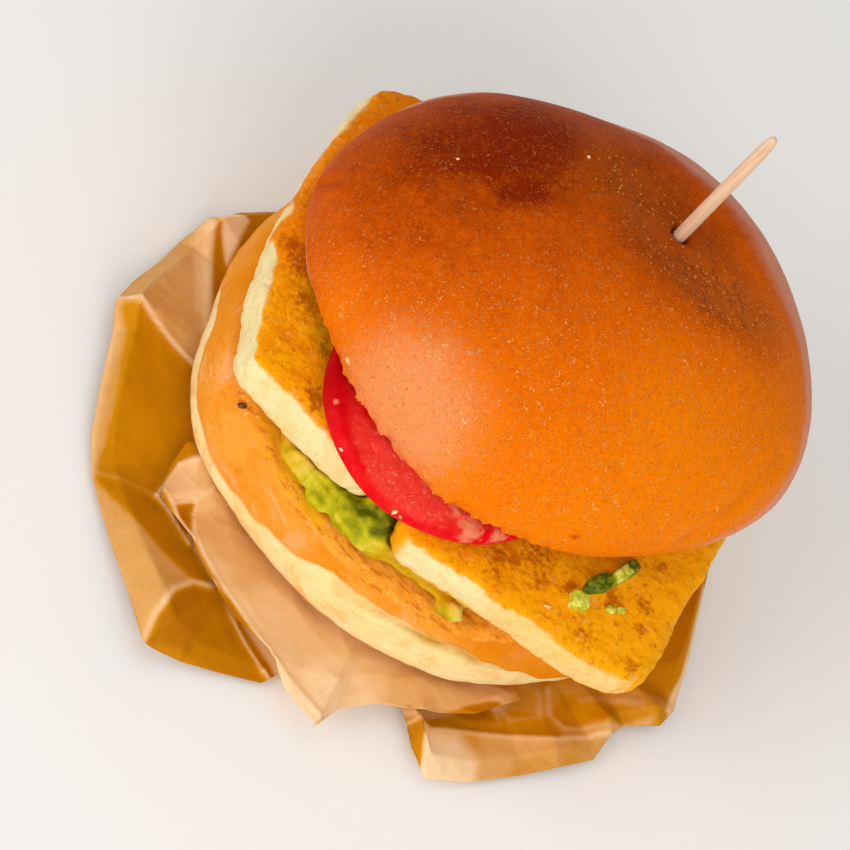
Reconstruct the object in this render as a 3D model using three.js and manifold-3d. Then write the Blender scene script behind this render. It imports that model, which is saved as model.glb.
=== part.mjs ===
// Tofu burger on a crumpled sheet of greaseproof paper, with a wooden skewer.
// Millimetres, +Z up, -Y is the front. The origin is on the flat underside of
// the paper, below the middle of the bottom bun.

import * as THREE from 'three';
import { mergeVertices } from 'three/addons/utils/BufferGeometryUtils.js';
import { ImprovedNoise } from 'three/addons/math/ImprovedNoise.js';
import Module from 'manifold-3d';

const wasm = await Module();
wasm.setup();

// Driving dimensions
const gap = 0.3;
const paperThickness = 0.7;
const paperFlatRadius = 46.5;

const bottomBun = {
  footRadius: 41,
  footHeight: 1.05,
  rimRadius: 55.8,
  rimHeight: 8.5,
  cutRadius: 51.9,
  cutHeight: 22,
};

const topBun = {
  x: 0.2,
  y: 4.4,
  radius: 50.6,
  rimHeight: 46,
  domeHeight: 30.6,
  heelDepth: 8,
  heelInset: 5,
  tiltX: 0.03,
  tiltY: -0.05,
};

const dent = { x: 9, y: 17.5, halfLength: 25, halfWidth: 18, depth: 3.8 };

const tofuBottom = 27;
const leftTofu = { top: 37.6, rounding: 3.2, cornerRadius: 7, bulge: 3 };
const rightTofu = { top: 36.4, rounding: 2.8, cornerRadius: 6.5, bulge: 0 };

const tomato = { x: -2.5, y: -26.5, radius: 26, bottom: 38.3, top: 43 };

const mash = { radius: 47.6, bottom: 22.5, top: 26.5 };

const skewer = { x: 5.2, y: 15.8, radius: 1.3, bottom: 6, top: 103.6 };

// Small helpers
const noise = new ImprovedNoise();

function lumps(x, y, z, size) {
  return noise.noise(x / size + 7.3, y / size + 2.9, z / size + 11.1);
}

function clamp(value, low, high) {
  return Math.min(high, Math.max(low, value));
}

function smoothstep(low, high, value) {
  const t = clamp((value - low) / (high - low), 0, 1);
  return t * t * (3 - 2 * t);
}

function lerp(from, to, t) {
  return from + (to - from) * t;
}

// 1 at no distance, falling softly to nothing past about two widths
function bell(distance, width) {
  return Math.exp(-((distance / width) ** 2));
}

// Moves every vertex of a geometry by a function of its place.
function warp(geometry, move) {
  const place = geometry.attributes.position;
  const point = new THREE.Vector3();
  for (let i = 0; i < place.count; i += 1) {
    point.fromBufferAttribute(place, i);
    move(point);
    place.setXYZ(i, point.x, point.y, point.z);
  }
  return geometry;
}

// Merges shared vertices and drops the flat triangles that lathe poles leave.
function welded(geometry) {
  const bare = geometry.clone();
  bare.deleteAttribute('normal');
  bare.deleteAttribute('uv');
  const merged = mergeVertices(bare, 1e-4);
  const index = merged.index;
  const kept = [];
  for (let i = 0; i < index.count; i += 3) {
    const a = index.getX(i);
    const b = index.getX(i + 1);
    const c = index.getX(i + 2);
    if (a !== b && b !== c && c !== a) {
      kept.push(a, b, c);
    }
  }
  merged.setIndex(kept);
  return merged;
}

function solid(geometry) {
  const closed = welded(geometry);
  return new wasm.Manifold(new wasm.Mesh({
    numProp: 3,
    vertProperties: new Float32Array(closed.attributes.position.array),
    triVerts: new Uint32Array(closed.index.array),
  }));
}

// Keeps the largest body: scraps go, and hollows sealed by a join are filled.
function wholeBody(shape) {
  const bodies = shape.decompose();
  return bodies.reduce((best, body) => (body.volume() > best.volume() ? body : best));
}

function geometryOf(shape) {
  const mesh = shape.getMesh();
  const geometry = new THREE.BufferGeometry();
  const positions = new Float32Array(mesh.vertProperties);
  geometry.setAttribute('position', new THREE.BufferAttribute(positions, 3));
  geometry.setIndex(Array.from(mesh.triVerts));
  geometry.computeVertexNormals();
  return geometry;
}

// A profile of [radius, height] pairs swung round the vertical axis.
function swung(profile, spokes) {
  const outline = profile.map(([r, z]) => new THREE.Vector2(r, z));
  return new THREE.LatheGeometry(outline, spokes).rotateX(Math.PI / 2);
}

function rod(radius, bottom, top, sides) {
  const shape = new THREE.CylinderGeometry(radius, radius, top - bottom, sides, 1);
  shape.rotateX(Math.PI / 2);
  shape.translate(skewer.x, skewer.y, (top + bottom) / 2);
  return solid(shape);
}

function skewerHole(bottom, top) {
  return rod(skewer.radius + gap, bottom, top, 12);
}

// Bottom bun: foot, bulging side, crust edge and flat cut face
function bottomBunProfile() {
  const bun = bottomBun;
  const points = [[0, bun.footHeight], [bun.footRadius, bun.footHeight]];
  const under = 6;
  for (let i = 1; i <= under; i += 1) {
    const angle = (i / under) * Math.PI / 2;
    const r = lerp(bun.footRadius, bun.rimRadius, Math.sin(angle));
    const z = lerp(bun.rimHeight, bun.footHeight, Math.cos(angle));
    points.push([r, z]);
  }
  const side = 5;
  const shoulder = bun.cutHeight - 1.2;
  for (let i = 1; i <= side; i += 1) {
    const angle = (i / side) * Math.PI / 2;
    const r = lerp(bun.cutRadius + 0.7, bun.rimRadius, Math.cos(angle));
    const z = lerp(bun.rimHeight, shoulder, Math.sin(angle));
    points.push([r, z]);
  }
  points.push([bun.cutRadius, bun.cutHeight], [38, bun.cutHeight], [20, bun.cutHeight]);
  points.push([0, bun.cutHeight]);
  return points;
}

// The side has soft lumps, and a pinched fold runs along its front right.
function bottomBunRelief(point) {
  const r = Math.hypot(point.x, point.y);
  if (r < bottomBun.footRadius + 1) {
    return;
  }
  const azimuth = Math.atan2(point.y, point.x);
  const onSide = smoothstep(bottomBun.footHeight, 6, point.z);
  let grow = 0.9 * lumps(point.x, point.y, point.z, 19) * onSide;
  grow += 1.9 * bell(azimuth + 2.3, 0.24) * onSide;
  grow -= 0.7 * bell(azimuth + 2.72, 0.16) * onSide;
  const fold = bell(azimuth + 0.87, 0.42);
  const foldHeight = lerp(12.5, 9.5, clamp((azimuth + 1.3) / 0.9, 0, 1));
  grow -= 1.3 * fold * bell(point.z - foldHeight, 2.2);
  const scale = (r + grow) / r;
  point.x *= scale;
  point.y *= scale;
}

function makeBottomBun() {
  const body = solid(warp(swung(bottomBunProfile(), 60), bottomBunRelief));
  return body.subtract(skewerHole(skewer.bottom - 1, bottomBun.cutHeight + 2));
}

// Top bun: outline lobes, a flatter back and left, dome, heel and cut face
function topBunOutline(azimuth) {
  const second = 0.009 * Math.cos(2 * azimuth) + 0.027 * Math.sin(2 * azimuth);
  const third = -0.02 * Math.cos(3 * azimuth) - 0.015 * Math.sin(3 * azimuth);
  const fourth = 0.024 * Math.cos(4 * azimuth) + 0.005 * Math.sin(4 * azimuth);
  const back = -0.062 * bell(azimuth - 1.6, 0.75);
  const left = -0.038 * bell(Math.abs(azimuth) - Math.PI, 0.3);
  const right = 0.03 * bell(azimuth, 0.25);
  return 1 + second + third + fourth + back + left + right;
}

function topBunProfile() {
  const bun = topBun;
  const points = [[0, -bun.heelDepth], [14, -bun.heelDepth], [27, -bun.heelDepth]];
  points.push([38, -bun.heelDepth], [bun.radius - bun.heelInset, -bun.heelDepth]);
  const heel = 4;
  for (let i = 1; i <= heel; i += 1) {
    const angle = (i / heel) * Math.PI / 2;
    const r = lerp(bun.radius - bun.heelInset, bun.radius, Math.sin(angle));
    points.push([r, -bun.heelDepth * Math.cos(angle)]);
  }
  const dome = 15;
  for (let i = 1; i <= dome; i += 1) {
    const angle = (i / dome) * Math.PI / 2;
    points.push([bun.radius * Math.cos(angle), bun.domeHeight * Math.sin(angle)]);
  }
  points[points.length - 1][0] = 0;
  return points;
}

// Where the skewer presses in, the crust sinks into a hollow with a firm near edge.
function dentDepth(x, y) {
  const across = (x - dent.x) / dent.halfLength;
  const along = (y - dent.y) / dent.halfWidth;
  const reach = Math.hypot(across, along);
  return dent.depth * (1 - smoothstep(0.3, 1.05, reach));
}

// The cut face rests on the left slab, and is pressed up where it lies on the tomato.
function restHeight(x, y) {
  const away = Math.hypot(x - tomato.x, y - tomato.y) - tomato.radius - 4;
  const onTomato = tomato.top + 0.6 - 0.5 * Math.max(0, away);
  return Math.max(onTomato, leftTofu.top + 0.8);
}

function topBunRelief(point) {
  const bun = topBun;
  const azimuth = Math.atan2(point.y, point.x);
  const spread = topBunOutline(azimuth);
  const onDome = point.z > 0;
  const under = point.z < -0.5;
  const swell = onDome ? 1.1 * lumps(point.x, point.y, point.z, 24) : 0;
  const rise = point.z;
  point.x = point.x * spread * (1 + swell * 0.004) + bun.x;
  point.y = point.y * spread * (1 + swell * 0.004) + bun.y;
  point.z = rise + bun.rimHeight + bun.tiltX * point.x + bun.tiltY * (point.y - bun.y);
  if (onDome) {
    const high = smoothstep(0, 18, rise);
    const backSag = 1.8 * smoothstep(8, 46, point.y);
    point.z += high * (0.6 * swell - backSag - dentDepth(point.x, point.y));
  }
  if (under) {
    point.z = Math.max(point.z, restHeight(point.x, point.y));
  }
}

function makeTopBun() {
  const body = solid(warp(swung(topBunProfile(), 64), topBunRelief));
  return body.subtract(skewerHole(30, 90));
}

// Rounds the edges of a box centred on the origin.
function roundEdges(point, half, radius) {
  const core = point.clone();
  core.x = clamp(point.x, -half.x + radius, half.x - radius);
  core.y = clamp(point.y, -half.y + radius, half.y - radius);
  core.z = clamp(point.z, -half.z + radius, half.z - radius);
  const out = point.clone().sub(core);
  if (out.length() > 0) {
    out.setLength(radius);
  }
  point.copy(core).add(out);
}

// Turns the square corners of its plan into round ones.
function roundCorners(point, half, radius) {
  const outX = Math.max(0, Math.abs(point.x) - half.x + radius);
  const outY = Math.max(0, Math.abs(point.y) - half.y + radius);
  const pull = outX * outY > 0 ? Math.max(outX, outY) / Math.hypot(outX, outY) : 1;
  point.x -= Math.sign(point.x) * outX * (1 - pull);
  point.y -= Math.sign(point.y) * outY * (1 - pull);
}

// A slab with rounded edges on a four-cornered base, from a segmented box.
// Its left side can bulge outwards between its corners.
function slab({ corners, top, rounding, cornerRadius, bulge, extra, relief, segments }) {
  const box = new THREE.BoxGeometry(2, 2, 2, ...segments);
  const middle = (top + tofuBottom) / 2;
  const half = new THREE.Vector3(26, 41, (top - tofuBottom) / 2);
  return warp(box, (point) => {
    for (const axis of ['x', 'y', 'z']) {
      const u = point[axis];
      const eased = Math.sign(u) * (1 - (1 - Math.abs(u)) ** 1.5);
      point[axis] = eased * half[axis];
    }
    roundEdges(point, half, rounding);
    roundCorners(point, half, cornerRadius);
    const u = point.x / half.x / 2 + 0.5;
    const v = point.y / half.y / 2 + 0.5;
    const [frontLeft, frontRight, backRight, backLeft] = corners;
    const front = frontLeft.clone().lerp(frontRight, u);
    const back = backLeft.clone().lerp(backRight, u);
    const place = front.lerp(back, v);
    place.x -= bulge * Math.sin(Math.PI * v) * (1 - u);
    const bump = relief(place.x, place.y, point.z);
    const up = clamp(point.z / half.z, 0, 1);
    const centre = new THREE.Vector2(u - 0.5, v - 0.5);
    place.addScaledVector(centre, 2 * extra + 0.8 * bump);
    point.set(place.x, place.y, middle + point.z + up * 0.45 * bump + extra * Math.sign(point.z));
  });
}

function leftSlab(extra) {
  return slab({
    corners: [
      new THREE.Vector2(-40.3, -46.6),
      new THREE.Vector2(-2.2, -47.4),
      new THREE.Vector2(1.2, 44),
      new THREE.Vector2(-58, 27),
    ],
    ...leftTofu,
    extra,
    relief: (x, y, z) => lumps(x, y, z, 13),
    segments: [10, 14, 4],
  });
}

function rightSlab(extra) {
  return slab({
    corners: [
      new THREE.Vector2(2, -52),
      new THREE.Vector2(56, -41.4),
      new THREE.Vector2(47.5, 40),
      new THREE.Vector2(8.8, 45),
    ],
    ...rightTofu,
    extra,
    relief: (x, y, z) => lumps(x + 31, y, z, 12),
    segments: [10, 14, 4],
  });
}

function makeLeftTofu() {
  return solid(leftSlab(0));
}

// Chopped greens stuck to the right slab: a small cube and a folded strip
function chopped(width, depth, height, x, y, turn, lift) {
  const bit = new THREE.BoxGeometry(width, depth, height, 2, 2, 1);
  warp(bit, (point) => {
    const taper = 1 - 0.18 * Math.sign(point.z) - 0.12 * Math.abs(point.x) / width;
    point.x *= taper;
    point.y *= taper;
    point.z += 0.35 * lumps(point.x + x, point.y + y, point.z, 2.1);
  });
  bit.rotateZ(turn);
  bit.translate(x, y, rightTofu.top + lift);
  return solid(bit);
}

function makeRightTofu() {
  const cube = chopped(2.9, 2.7, 2.6, 36.6, -35.6, 0.5, 0.6);
  const leaf = chopped(6.4, 3.4, 1.9, 37.6, -29, 1.15, 0.5);
  const stem = chopped(6.2, 2.4, 2.7, 39.9, -23.4, 1.35, 0.8);
  return wholeBody(solid(rightSlab(0)).add(cube).add(leaf).add(stem));
}

// Tomato slice: skin bulges at the side, and the flesh sinks a little inside it
function makeTomato() {
  const { radius, bottom, top } = tomato;
  const profile = [
    [0, bottom],
    [radius - 1.6, bottom],
    [radius - 0.4, bottom + 1.2],
    [radius, bottom + 2.6],
    [radius - 0.6, bottom + 4.1],
    [radius - 1.5, top],
    [radius - 3.2, top - 0.15],
    [radius - 8, top - 0.35],
    [0, top - 0.35],
  ];
  const slice = warp(swung(profile, 48), (point) => {
    const azimuth = Math.atan2(point.y, point.x);
    const wave = 1 + 0.012 * Math.sin(3 * azimuth + 0.6) + 0.006 * Math.sin(7 * azimuth);
    point.x = point.x * wave + tomato.x;
    point.y = point.y * wave + tomato.y;
  });
  return solid(slice);
}

// Avocado mash: a spread layer with lumps pushed out in front and between the slabs
const singleLumps = [
  { azimuth: -88.5, reach: 45, height: 27.8, size: 4.8 },
  { azimuth: -87, reach: 39, height: 30.2, size: 5 },
  { azimuth: -65.8, reach: 51.6, height: 23.9, size: 2.5 },
  { azimuth: -142.5, reach: 52.3, height: 24.2, size: 2.2 },
];

function mashLump(azimuth, reach, height, size) {
  const angle = THREE.MathUtils.degToRad(azimuth);
  const ball = new THREE.SphereGeometry(size, 9, 6);
  ball.scale(1.2, 1, 0.8);
  ball.rotateZ(2.1 * azimuth);
  ball.translate(reach * Math.cos(angle), reach * Math.sin(angle), height);
  warp(ball, (point) => {
    point.x += 1.5 * lumps(point.x, point.y, point.z, 3.6);
    point.y += 1.5 * lumps(point.y, point.z, point.x, 3.6);
    point.z += 1.2 * lumps(point.z, point.x, point.y, 3.6);
    point.z = Math.max(point.z, mash.bottom);
  });
  return solid(ball);
}

function makeMash() {
  const { radius, bottom, top } = mash;
  const profile = [[0, bottom], [radius, bottom], [radius + 1.4, bottom + 1.8]];
  profile.push([radius - 0.4, top - 0.6], [radius - 3, top], [radius - 20, top], [0, top]);
  const layer = warp(swung(profile, 44), (point) => {
    const r = Math.hypot(point.x, point.y);
    const azimuth = Math.atan2(point.y, point.x);
    const front = bell(azimuth + 1.55, 0.5);
    const grow = smoothstep(30, 46, r) * (1.4 * front + 1.6 * lumps(point.x, point.y, 0, 7));
    point.x *= (r + grow) / (r || 1);
    point.y *= (r + grow) / (r || 1);
  });
  let shape = solid(layer);
  for (let i = 0; i < 5; i += 1) {
    const azimuth = -112 + 5.6 * i + 1.2 * Math.sin(5 * i);
    const size = 4.2 + 0.9 * Math.sin(2.4 * i + 0.7);
    const reach = 47.4 + 1.1 * Math.sin(3.7 * i);
    shape = shape.add(mashLump(azimuth, reach, 24.4 + 0.9 * Math.sin(1.9 * i + 1), size));
  }
  for (const { azimuth, reach, height, size } of singleLumps) {
    shape = shape.add(mashLump(azimuth, reach, height, size));
  }
  shape = shape.subtract(solid(leftSlab(0.35)));
  shape = shape.subtract(solid(rightSlab(0.35)));
  return wholeBody(shape.subtract(skewerHole(20, 60)));
}

// Skewer: a round stick with a blunt tapering top and a pointed foot
function makeSkewer() {
  const { radius, bottom, top } = skewer;
  const profile = [
    [0, bottom],
    [0.35, bottom + 0.3],
    [radius, bottom + 7],
    [radius, 60],
    [radius, 72],
    [radius, 84],
    [radius * 0.97, top - 7],
    [radius * 0.8, top - 1.6],
    [radius * 0.5, top - 0.35],
    [0, top],
  ];
  const stick = swung(profile, 14);
  stick.translate(skewer.x, skewer.y, 0);
  return solid(stick);
}

// Paper: each corner of the sheet has a direction, a reach and a crest height.
function corner(azimuth, reach, crest) {
  const angle = THREE.MathUtils.degToRad(azimuth);
  const edge = new THREE.Vector2(Math.cos(angle), Math.sin(angle)).multiplyScalar(reach);
  return { angle, edge, crest };
}

// Splits the way between corners into even steps, keeping each corner.
function stepsBetween(corners, step, loop) {
  const stops = [];
  const last = loop ? corners.length : corners.length - 1;
  for (let i = 0; i < last; i += 1) {
    const from = corners[i];
    const to = corners[(i + 1) % corners.length];
    const count = Math.max(1, Math.round(from.edge.distanceTo(to.edge) / step));
    for (let k = 0; k < count; k += 1) {
      const t = k / count;
      const edge = from.edge.clone().lerp(to.edge, t);
      stops.push({ edge, crest: lerp(from.crest, to.crest, t) });
    }
  }
  if (!loop) {
    stops.push(corners[corners.length - 1]);
  }
  return stops;
}

// Pleats fan out from under the bun. Past the crest line the edge rolls down.
function pleatHeight(share, crest) {
  const crestLine = 0.86;
  if (share < crestLine) {
    return crest * (share / crestLine) ** 1.7;
  }
  return crest * (1 - 0.55 * (share - crestLine) / (1 - crestLine));
}

function baseSheetCorners() {
  return [
    corner(-177.4, 64.6, 6.2),
    corner(-171, 66, 1.4),
    corner(-164.5, 67.3, 3.6),
    corner(-157.7, 70.4, 5.4),
    corner(-152, 73, 9),
    corner(-147.1, 72, 6),
    corner(-138.6, 73.5, 4.8),
    corner(-130.8, 76, 3),
    corner(-125.2, 77.5, 1.6),
    corner(-114.8, 79.4, 5),
    corner(-105.7, 82.5, 8),
    corner(-100.4, 86.2, 10),
    corner(-96, 81, 3),
    corner(-91.2, 76, 1.4),
    corner(-85.9, 71.8, 1),
    corner(-81, 59, 0.6),
    corner(-66, 56.5, 0.6),
    corner(-63, 63.9, 4.2),
    corner(-61.4, 70, 7),
    corner(-58.5, 74.6, 4.4),
    corner(-51.3, 73.2, 2),
    corner(-42.4, 71.3, 1.4),
    corner(-36, 70.8, 3.8),
    corner(-28.6, 70.7, 1.8),
    corner(-24.4, 67.6, 4.8),
    corner(-20.7, 67, 1.8),
    corner(-15.1, 70.6, 5.6),
    corner(-10.5, 70, 2.4),
    corner(-1, 64.6, 5),
    corner(11.5, 60.8, 5.2),
    corner(19.8, 60.6, 4),
    corner(27, 55.5, 0.8),
    corner(90, 50.8, 0.3),
    corner(150, 52, 0.3),
    corner(167, 57, 2.6),
    corner(175.6, 61.3, 3.4),
  ];
}

const sheetStops = stepsBetween(baseSheetCorners(), 4.6, true);

// Height of the base sheet's pleats under a point, or 0 beyond its edge
function sheetHeight(point) {
  const sides = sheetStops.map((from, i) => [from, sheetStops[(i + 1) % sheetStops.length]]);
  for (const [from, to] of sides) {
    const whole = from.edge.cross(to.edge);
    const t = from.edge.cross(point) / whole;
    const s = point.cross(to.edge) / whole;
    if (t >= 0 && s >= 0) {
      const edge = from.edge.clone().multiplyScalar(s).addScaledVector(to.edge, t);
      const reach = point.length() * (1 / (s + t));
      const share = (point.length() - paperFlatRadius) / (reach - paperFlatRadius);
      const crest = lerp(from.crest, to.crest, t / (s + t));
      return share > 1 || edge.length() === 0 ? 0 : pleatHeight(clamp(share, 0, 1), crest);
    }
  }
  return 0;
}

function baseSheet() {
  const stops = sheetStops;
  const spokes = stops.length;
  const shares = [1, 0.86, 0.7, 0.54, 0.38, 0.22, 0.08];
  const profile = [[0, 0], [1, 0], ...shares.slice().reverse().map((s) => [1 + s, 0])];
  profile.push(...shares.map((s) => [1 + s, 1]), [1, 1], [0, 1]);
  return warp(swung(profile, spokes), (point) => {
    const r = Math.hypot(point.x, point.y);
    const turn = Math.atan2(point.x, -point.y) / (2 * Math.PI);
    const spoke = (Math.round(turn * spokes) + spokes) % spokes;
    const face = point.z > 0.5 ? paperThickness : 0;
    if (r < 0.01) {
      point.set(0, 0, face);
      return;
    }
    const { edge, crest } = stops[spoke];
    const direction = edge.clone().normalize();
    const share = clamp(r - 1, 0, 1);
    const reach = lerp(paperFlatRadius, edge.length(), share);
    point.x = direction.x * reach;
    point.y = direction.y * reach;
    const crumple = 0.7 * share * Math.abs(lumps(point.x, point.y, 0, 9));
    point.z = face + pleatHeight(share, crest) + crumple;
  });
}

function flapCorners() {
  return [
    corner(-128, 58, 2.4),
    corner(-123.3, 63.1, 3),
    corner(-117.8, 68.2, 5),
    corner(-113.8, 66.2, 2.4),
    corner(-109.9, 66, 5),
    corner(-103, 67.4, 4.6),
    corner(-95.8, 68.6, 5),
    corner(-88.6, 69, 5.6),
    corner(-83, 73, 5.4),
    corner(-77, 76.6, 7),
    corner(-74.6, 69.6, 3.8),
    corner(-69, 64.8, 4.6),
    corner(-61.6, 63.4, 5.6),
    corner(-51, 61, 5),
    corner(-40, 57, 3.4),
  ];
}

// The flap leaves the base sheet under the bun and lies over its front folds.
function flap() {
  const stops = stepsBetween(flapCorners(), 4.4, false);
  const along = stops.length - 1;
  const rows = 6;
  const strip = new THREE.BoxGeometry(1, 1, 1, along, rows, 1);
  return warp(strip, (point) => {
    const stop = stops[Math.round((0.5 + point.x) * along)];
    const share = 0.5 - point.y;
    const direction = stop.edge.clone().normalize();
    const reach = lerp(45, stop.edge.length(), share);
    const spot = direction.multiplyScalar(reach);
    const face = point.z > 0 ? paperThickness : 0;
    point.x = spot.x;
    point.y = spot.y;
    if (share < 0.01) {
      point.z = 0.15 + 0.5 * face;
      return;
    }
    const under = 0.95 + 2.4 * clamp((reach - 48) / 9, 0, 1) ** 1.5;
    const beyond = smoothstep(52, 68, reach) * (stop.crest - 2.4);
    const crumple = 0.8 * share * lumps(spot.x, spot.y, 4, 8);
    const lying = sheetHeight(spot) + paperThickness + 1;
    point.z = face + Math.max(under + beyond + crumple, lying * smoothstep(48, 54, reach));
  });
}

function makePaper() {
  return wholeBody(solid(baseSheet()).add(solid(flap())));
}

// The scene graph
function piece(name, shape, colour, roughness) {
  const material = new THREE.MeshStandardMaterial({ color: colour, roughness, metalness: 0 });
  const mesh = new THREE.Mesh(geometryOf(shape), material);
  mesh.name = name;
  return mesh;
}

const burger = new THREE.Group();
burger.add(piece('paper', makePaper(), '#c79a5b', 0.75));
burger.add(piece('bottom_bun', makeBottomBun(), '#e8a452', 0.7));
burger.add(piece('avocado_mash', makeMash(), '#a9bf4a', 0.5));
burger.add(piece('tofu_left', makeLeftTofu(), '#dca33c', 0.6));
burger.add(piece('tofu_right', makeRightTofu(), '#dc9a2c', 0.6));
burger.add(piece('tomato_slice', makeTomato(), '#c8141c', 0.35));
burger.add(piece('top_bun', makeTopBun(), '#c8641a', 0.38));
burger.add(piece('skewer', makeSkewer(), '#d9b08c', 0.7));

export default burger;
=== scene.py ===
"""Looks of a tofu burger: glazed bun, fried tofu, tomato and avocado mash on greaseproof paper."""

import math
import random
from functools import lru_cache

import bmesh
import bpy
from bpy.props import FloatProperty, FloatVectorProperty, IntProperty, PointerProperty
from bpy.types import Operator, Panel, PropertyGroup
from mathutils import Matrix, Vector, noise
from mathutils.bvhtree import BVHTree
from mathutils.geometry import intersect_point_line


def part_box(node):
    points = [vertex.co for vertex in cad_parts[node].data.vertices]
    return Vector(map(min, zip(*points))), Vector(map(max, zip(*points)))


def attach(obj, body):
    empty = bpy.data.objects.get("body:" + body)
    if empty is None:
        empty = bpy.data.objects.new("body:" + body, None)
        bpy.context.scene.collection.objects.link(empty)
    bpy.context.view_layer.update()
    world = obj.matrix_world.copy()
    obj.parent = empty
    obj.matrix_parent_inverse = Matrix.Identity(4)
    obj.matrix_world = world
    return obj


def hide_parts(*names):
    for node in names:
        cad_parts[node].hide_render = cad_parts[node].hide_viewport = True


bl_info = {
    "name": "Tofu burger",
    "version": (1, 0, 0),
    "blender": (4, 5, 0),
    "location": "View3D > Sidebar > Burger",
    "description": "Makes the finish of each layer of a tofu burger, its paper and its skewer",
    "category": "Object",
}

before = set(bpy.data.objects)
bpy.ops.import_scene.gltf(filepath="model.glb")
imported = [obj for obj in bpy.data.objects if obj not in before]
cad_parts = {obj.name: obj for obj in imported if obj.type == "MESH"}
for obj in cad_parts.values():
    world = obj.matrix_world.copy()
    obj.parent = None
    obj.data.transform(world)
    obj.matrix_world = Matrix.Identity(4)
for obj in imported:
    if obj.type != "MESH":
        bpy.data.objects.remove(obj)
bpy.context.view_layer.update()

MM = 0.001
BODY = "root"

# The photograph's frame and the camera that was fitted to it
PHOTO_WIDTH_PX = 850
FOCAL_LENGTH_PX = 2500
SENSOR_WIDTH_MM = 36.0
CAMERA_TARGET = Vector((-5.2, -1.0, 0.0)) * MM

# Middles of the pieces that the patterns follow, and the radius of the slice
BUN_MIDDLE = Vector((0.2, 4.4, 46.0)) * MM
SKEWER_AXIS = Vector((5.2, 15.8, 0.0)) * MM
TOMATO_MIDDLE = Vector((-2.5, -26.5, 42.0)) * MM
TOMATO_RADIUS = 26.0 * MM


def tone(red, green, blue):
    """A colour as it looks on screen, from 0 to 255, as the linear values that materials use."""
    shares = [value / 255 for value in (red, green, blue)]
    linear = [((s + 0.055) / 1.055) ** 2.4 if s > 0.04045 else s / 12.92 for s in shares]
    return (*linear, 1.0)


def colour(name, description, red, green, blue):
    """A colour setting, given as the colour looks on screen, from 0 to 255."""
    return FloatVectorProperty(
        name=name, description=description, default=tone(red, green, blue), subtype="COLOR", size=4,
        min=0.0, max=1.0,
    )


def length(name, description, size):
    """A length setting, given in mm."""
    return FloatProperty(
        name=name, description=description, default=size * MM, min=0.0, subtype="DISTANCE", unit="LENGTH"
    )


def angle(name, description, size):
    """An angle setting, given in degrees."""
    return FloatProperty(
        name=name, description=description, default=math.radians(size), subtype="ANGLE", unit="ROTATION"
    )


def share(name, description, default):
    """A setting from none to all."""
    return FloatProperty(
        name=name, description=description, default=default, min=0.0, max=1.0, subtype="FACTOR"
    )


# Settings


class BURGER_PG_top_bun(PropertyGroup):
    """Finish of the upper bun half."""

    pale: colour("Pale crust", "Least baked crust", 244, 128, 0)
    orange: colour("Orange crust", "Crust low on the sides", 232, 108, 0)
    tan: colour("Tan crust", "Crust half way up", 206, 84, 0)
    brown: colour("Brown crust", "Crust at the top", 170, 64, 0)
    dark: colour("Dark crust", "The darkest baked patches", 134, 34, 0)
    # Floury dust with a painted soft sheen, low on the front
    dusty_sheen: colour("Dusty crust", "Matt peach patch low on the front", 234, 142, 86)
    # Light flecks of the crust that also stand in for tiny painted glints
    fleck_and_glint: colour("Fleck", "Fine light flecks", 255, 164, 84)
    # The pale side is paler crust that also carries a painted sheen along the bun's rim
    side: colour("Pale side", "Least baked crust at the upper edge of the pale side", 226, 150, 126)
    # Painted shade in the dent's fine wrinkles
    pucker: colour("Pucker", "Fine dark wrinkles in the dent", 122, 50, 2)
    skirt: colour("Pale skirt", "Golden crust lower on the pale side", 228, 146, 66)
    # Painted shade in the dent, over browner crust
    olive: colour("Dull crust", "Crust in the dent", 192, 88, 2)
    crumb: colour("Crumb", "Torn edge and cut face", 240, 196, 130)
    # Painted shade in and round the skewer's hole
    pit: colour("Hole", "Crust round the skewer's hole", 112, 40, 8)
    detail: length("Face size", "Size of the mesh's faces", 0.62)
    torn: length("Torn edge", "How far the edge over the tomato is torn", 0.75)
    patches: length("Patches", "Size of browner and paler patches", 7)
    mottle: length("Mottle", "Size of the fine mottle", 1)
    grain: length("Grain", "Size of the fine grain", 0.6)
    strokes: length("Strokes", "Size of the fine light strokes", 0.8)
    wrinkles: length("Wrinkles", "Spacing of the wrinkles in the dent", 2.2)
    specks: length("Specks", "Spacing of the light specks in the dent", 1.1)
    bumps: length("Bumps", "Height of the finest relief", 0.17)


class BURGER_PG_bottom_bun(PropertyGroup):
    """Finish of the lower bun half."""

    band: colour("Pale band", "Unbaked band low on the side", 247, 222, 156)
    floury: colour("Floury band", "Palest patches of the band", 250, 230, 178)
    crust: colour("Crust", "Baked crust above the band", 240, 160, 58)
    golden: colour("Golden crust", "Browner patches of the crust", 236, 142, 28)
    toast: colour("Toast", "Toasted cut face", 244, 164, 46)
    streak: colour("Streak", "Darker streaks of the toasted face", 204, 96, 8)
    crumb: colour("Crumb", "Pale crumb in the toasted face", 252, 198, 132)
    roll: colour("Roll", "Saturated crust above the fold", 226, 134, 2)
    smear: colour("Smear", "Wet smear beside the mash", 238, 172, 12)
    # Painted shade in the crease under the roll
    crease: colour("Crease", "Crease under the roll of the crust", 190, 136, 16)
    pink: colour("Pink crust", "Paler, pinker patches of the crust", 248, 174, 112)
    detail: length("Face size", "Size of the mesh's faces", 0.75)
    roughness: length("Crumb relief", "Height of the toasted crumb", 0.45)
    patches: length("Patches", "Size of golden patches", 11)
    mottle: length("Mottle", "Size of the fine mottle", 1.8)
    blush: length("Blush", "Size of pinker and paler patches", 5)
    veins: length("Veins", "Spacing of the fine veins", 4.5)
    grain: length("Grain", "Size of the toasted grain", 1.2)
    bumps: length("Bumps", "Height of the finest relief", 0.25)


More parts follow.
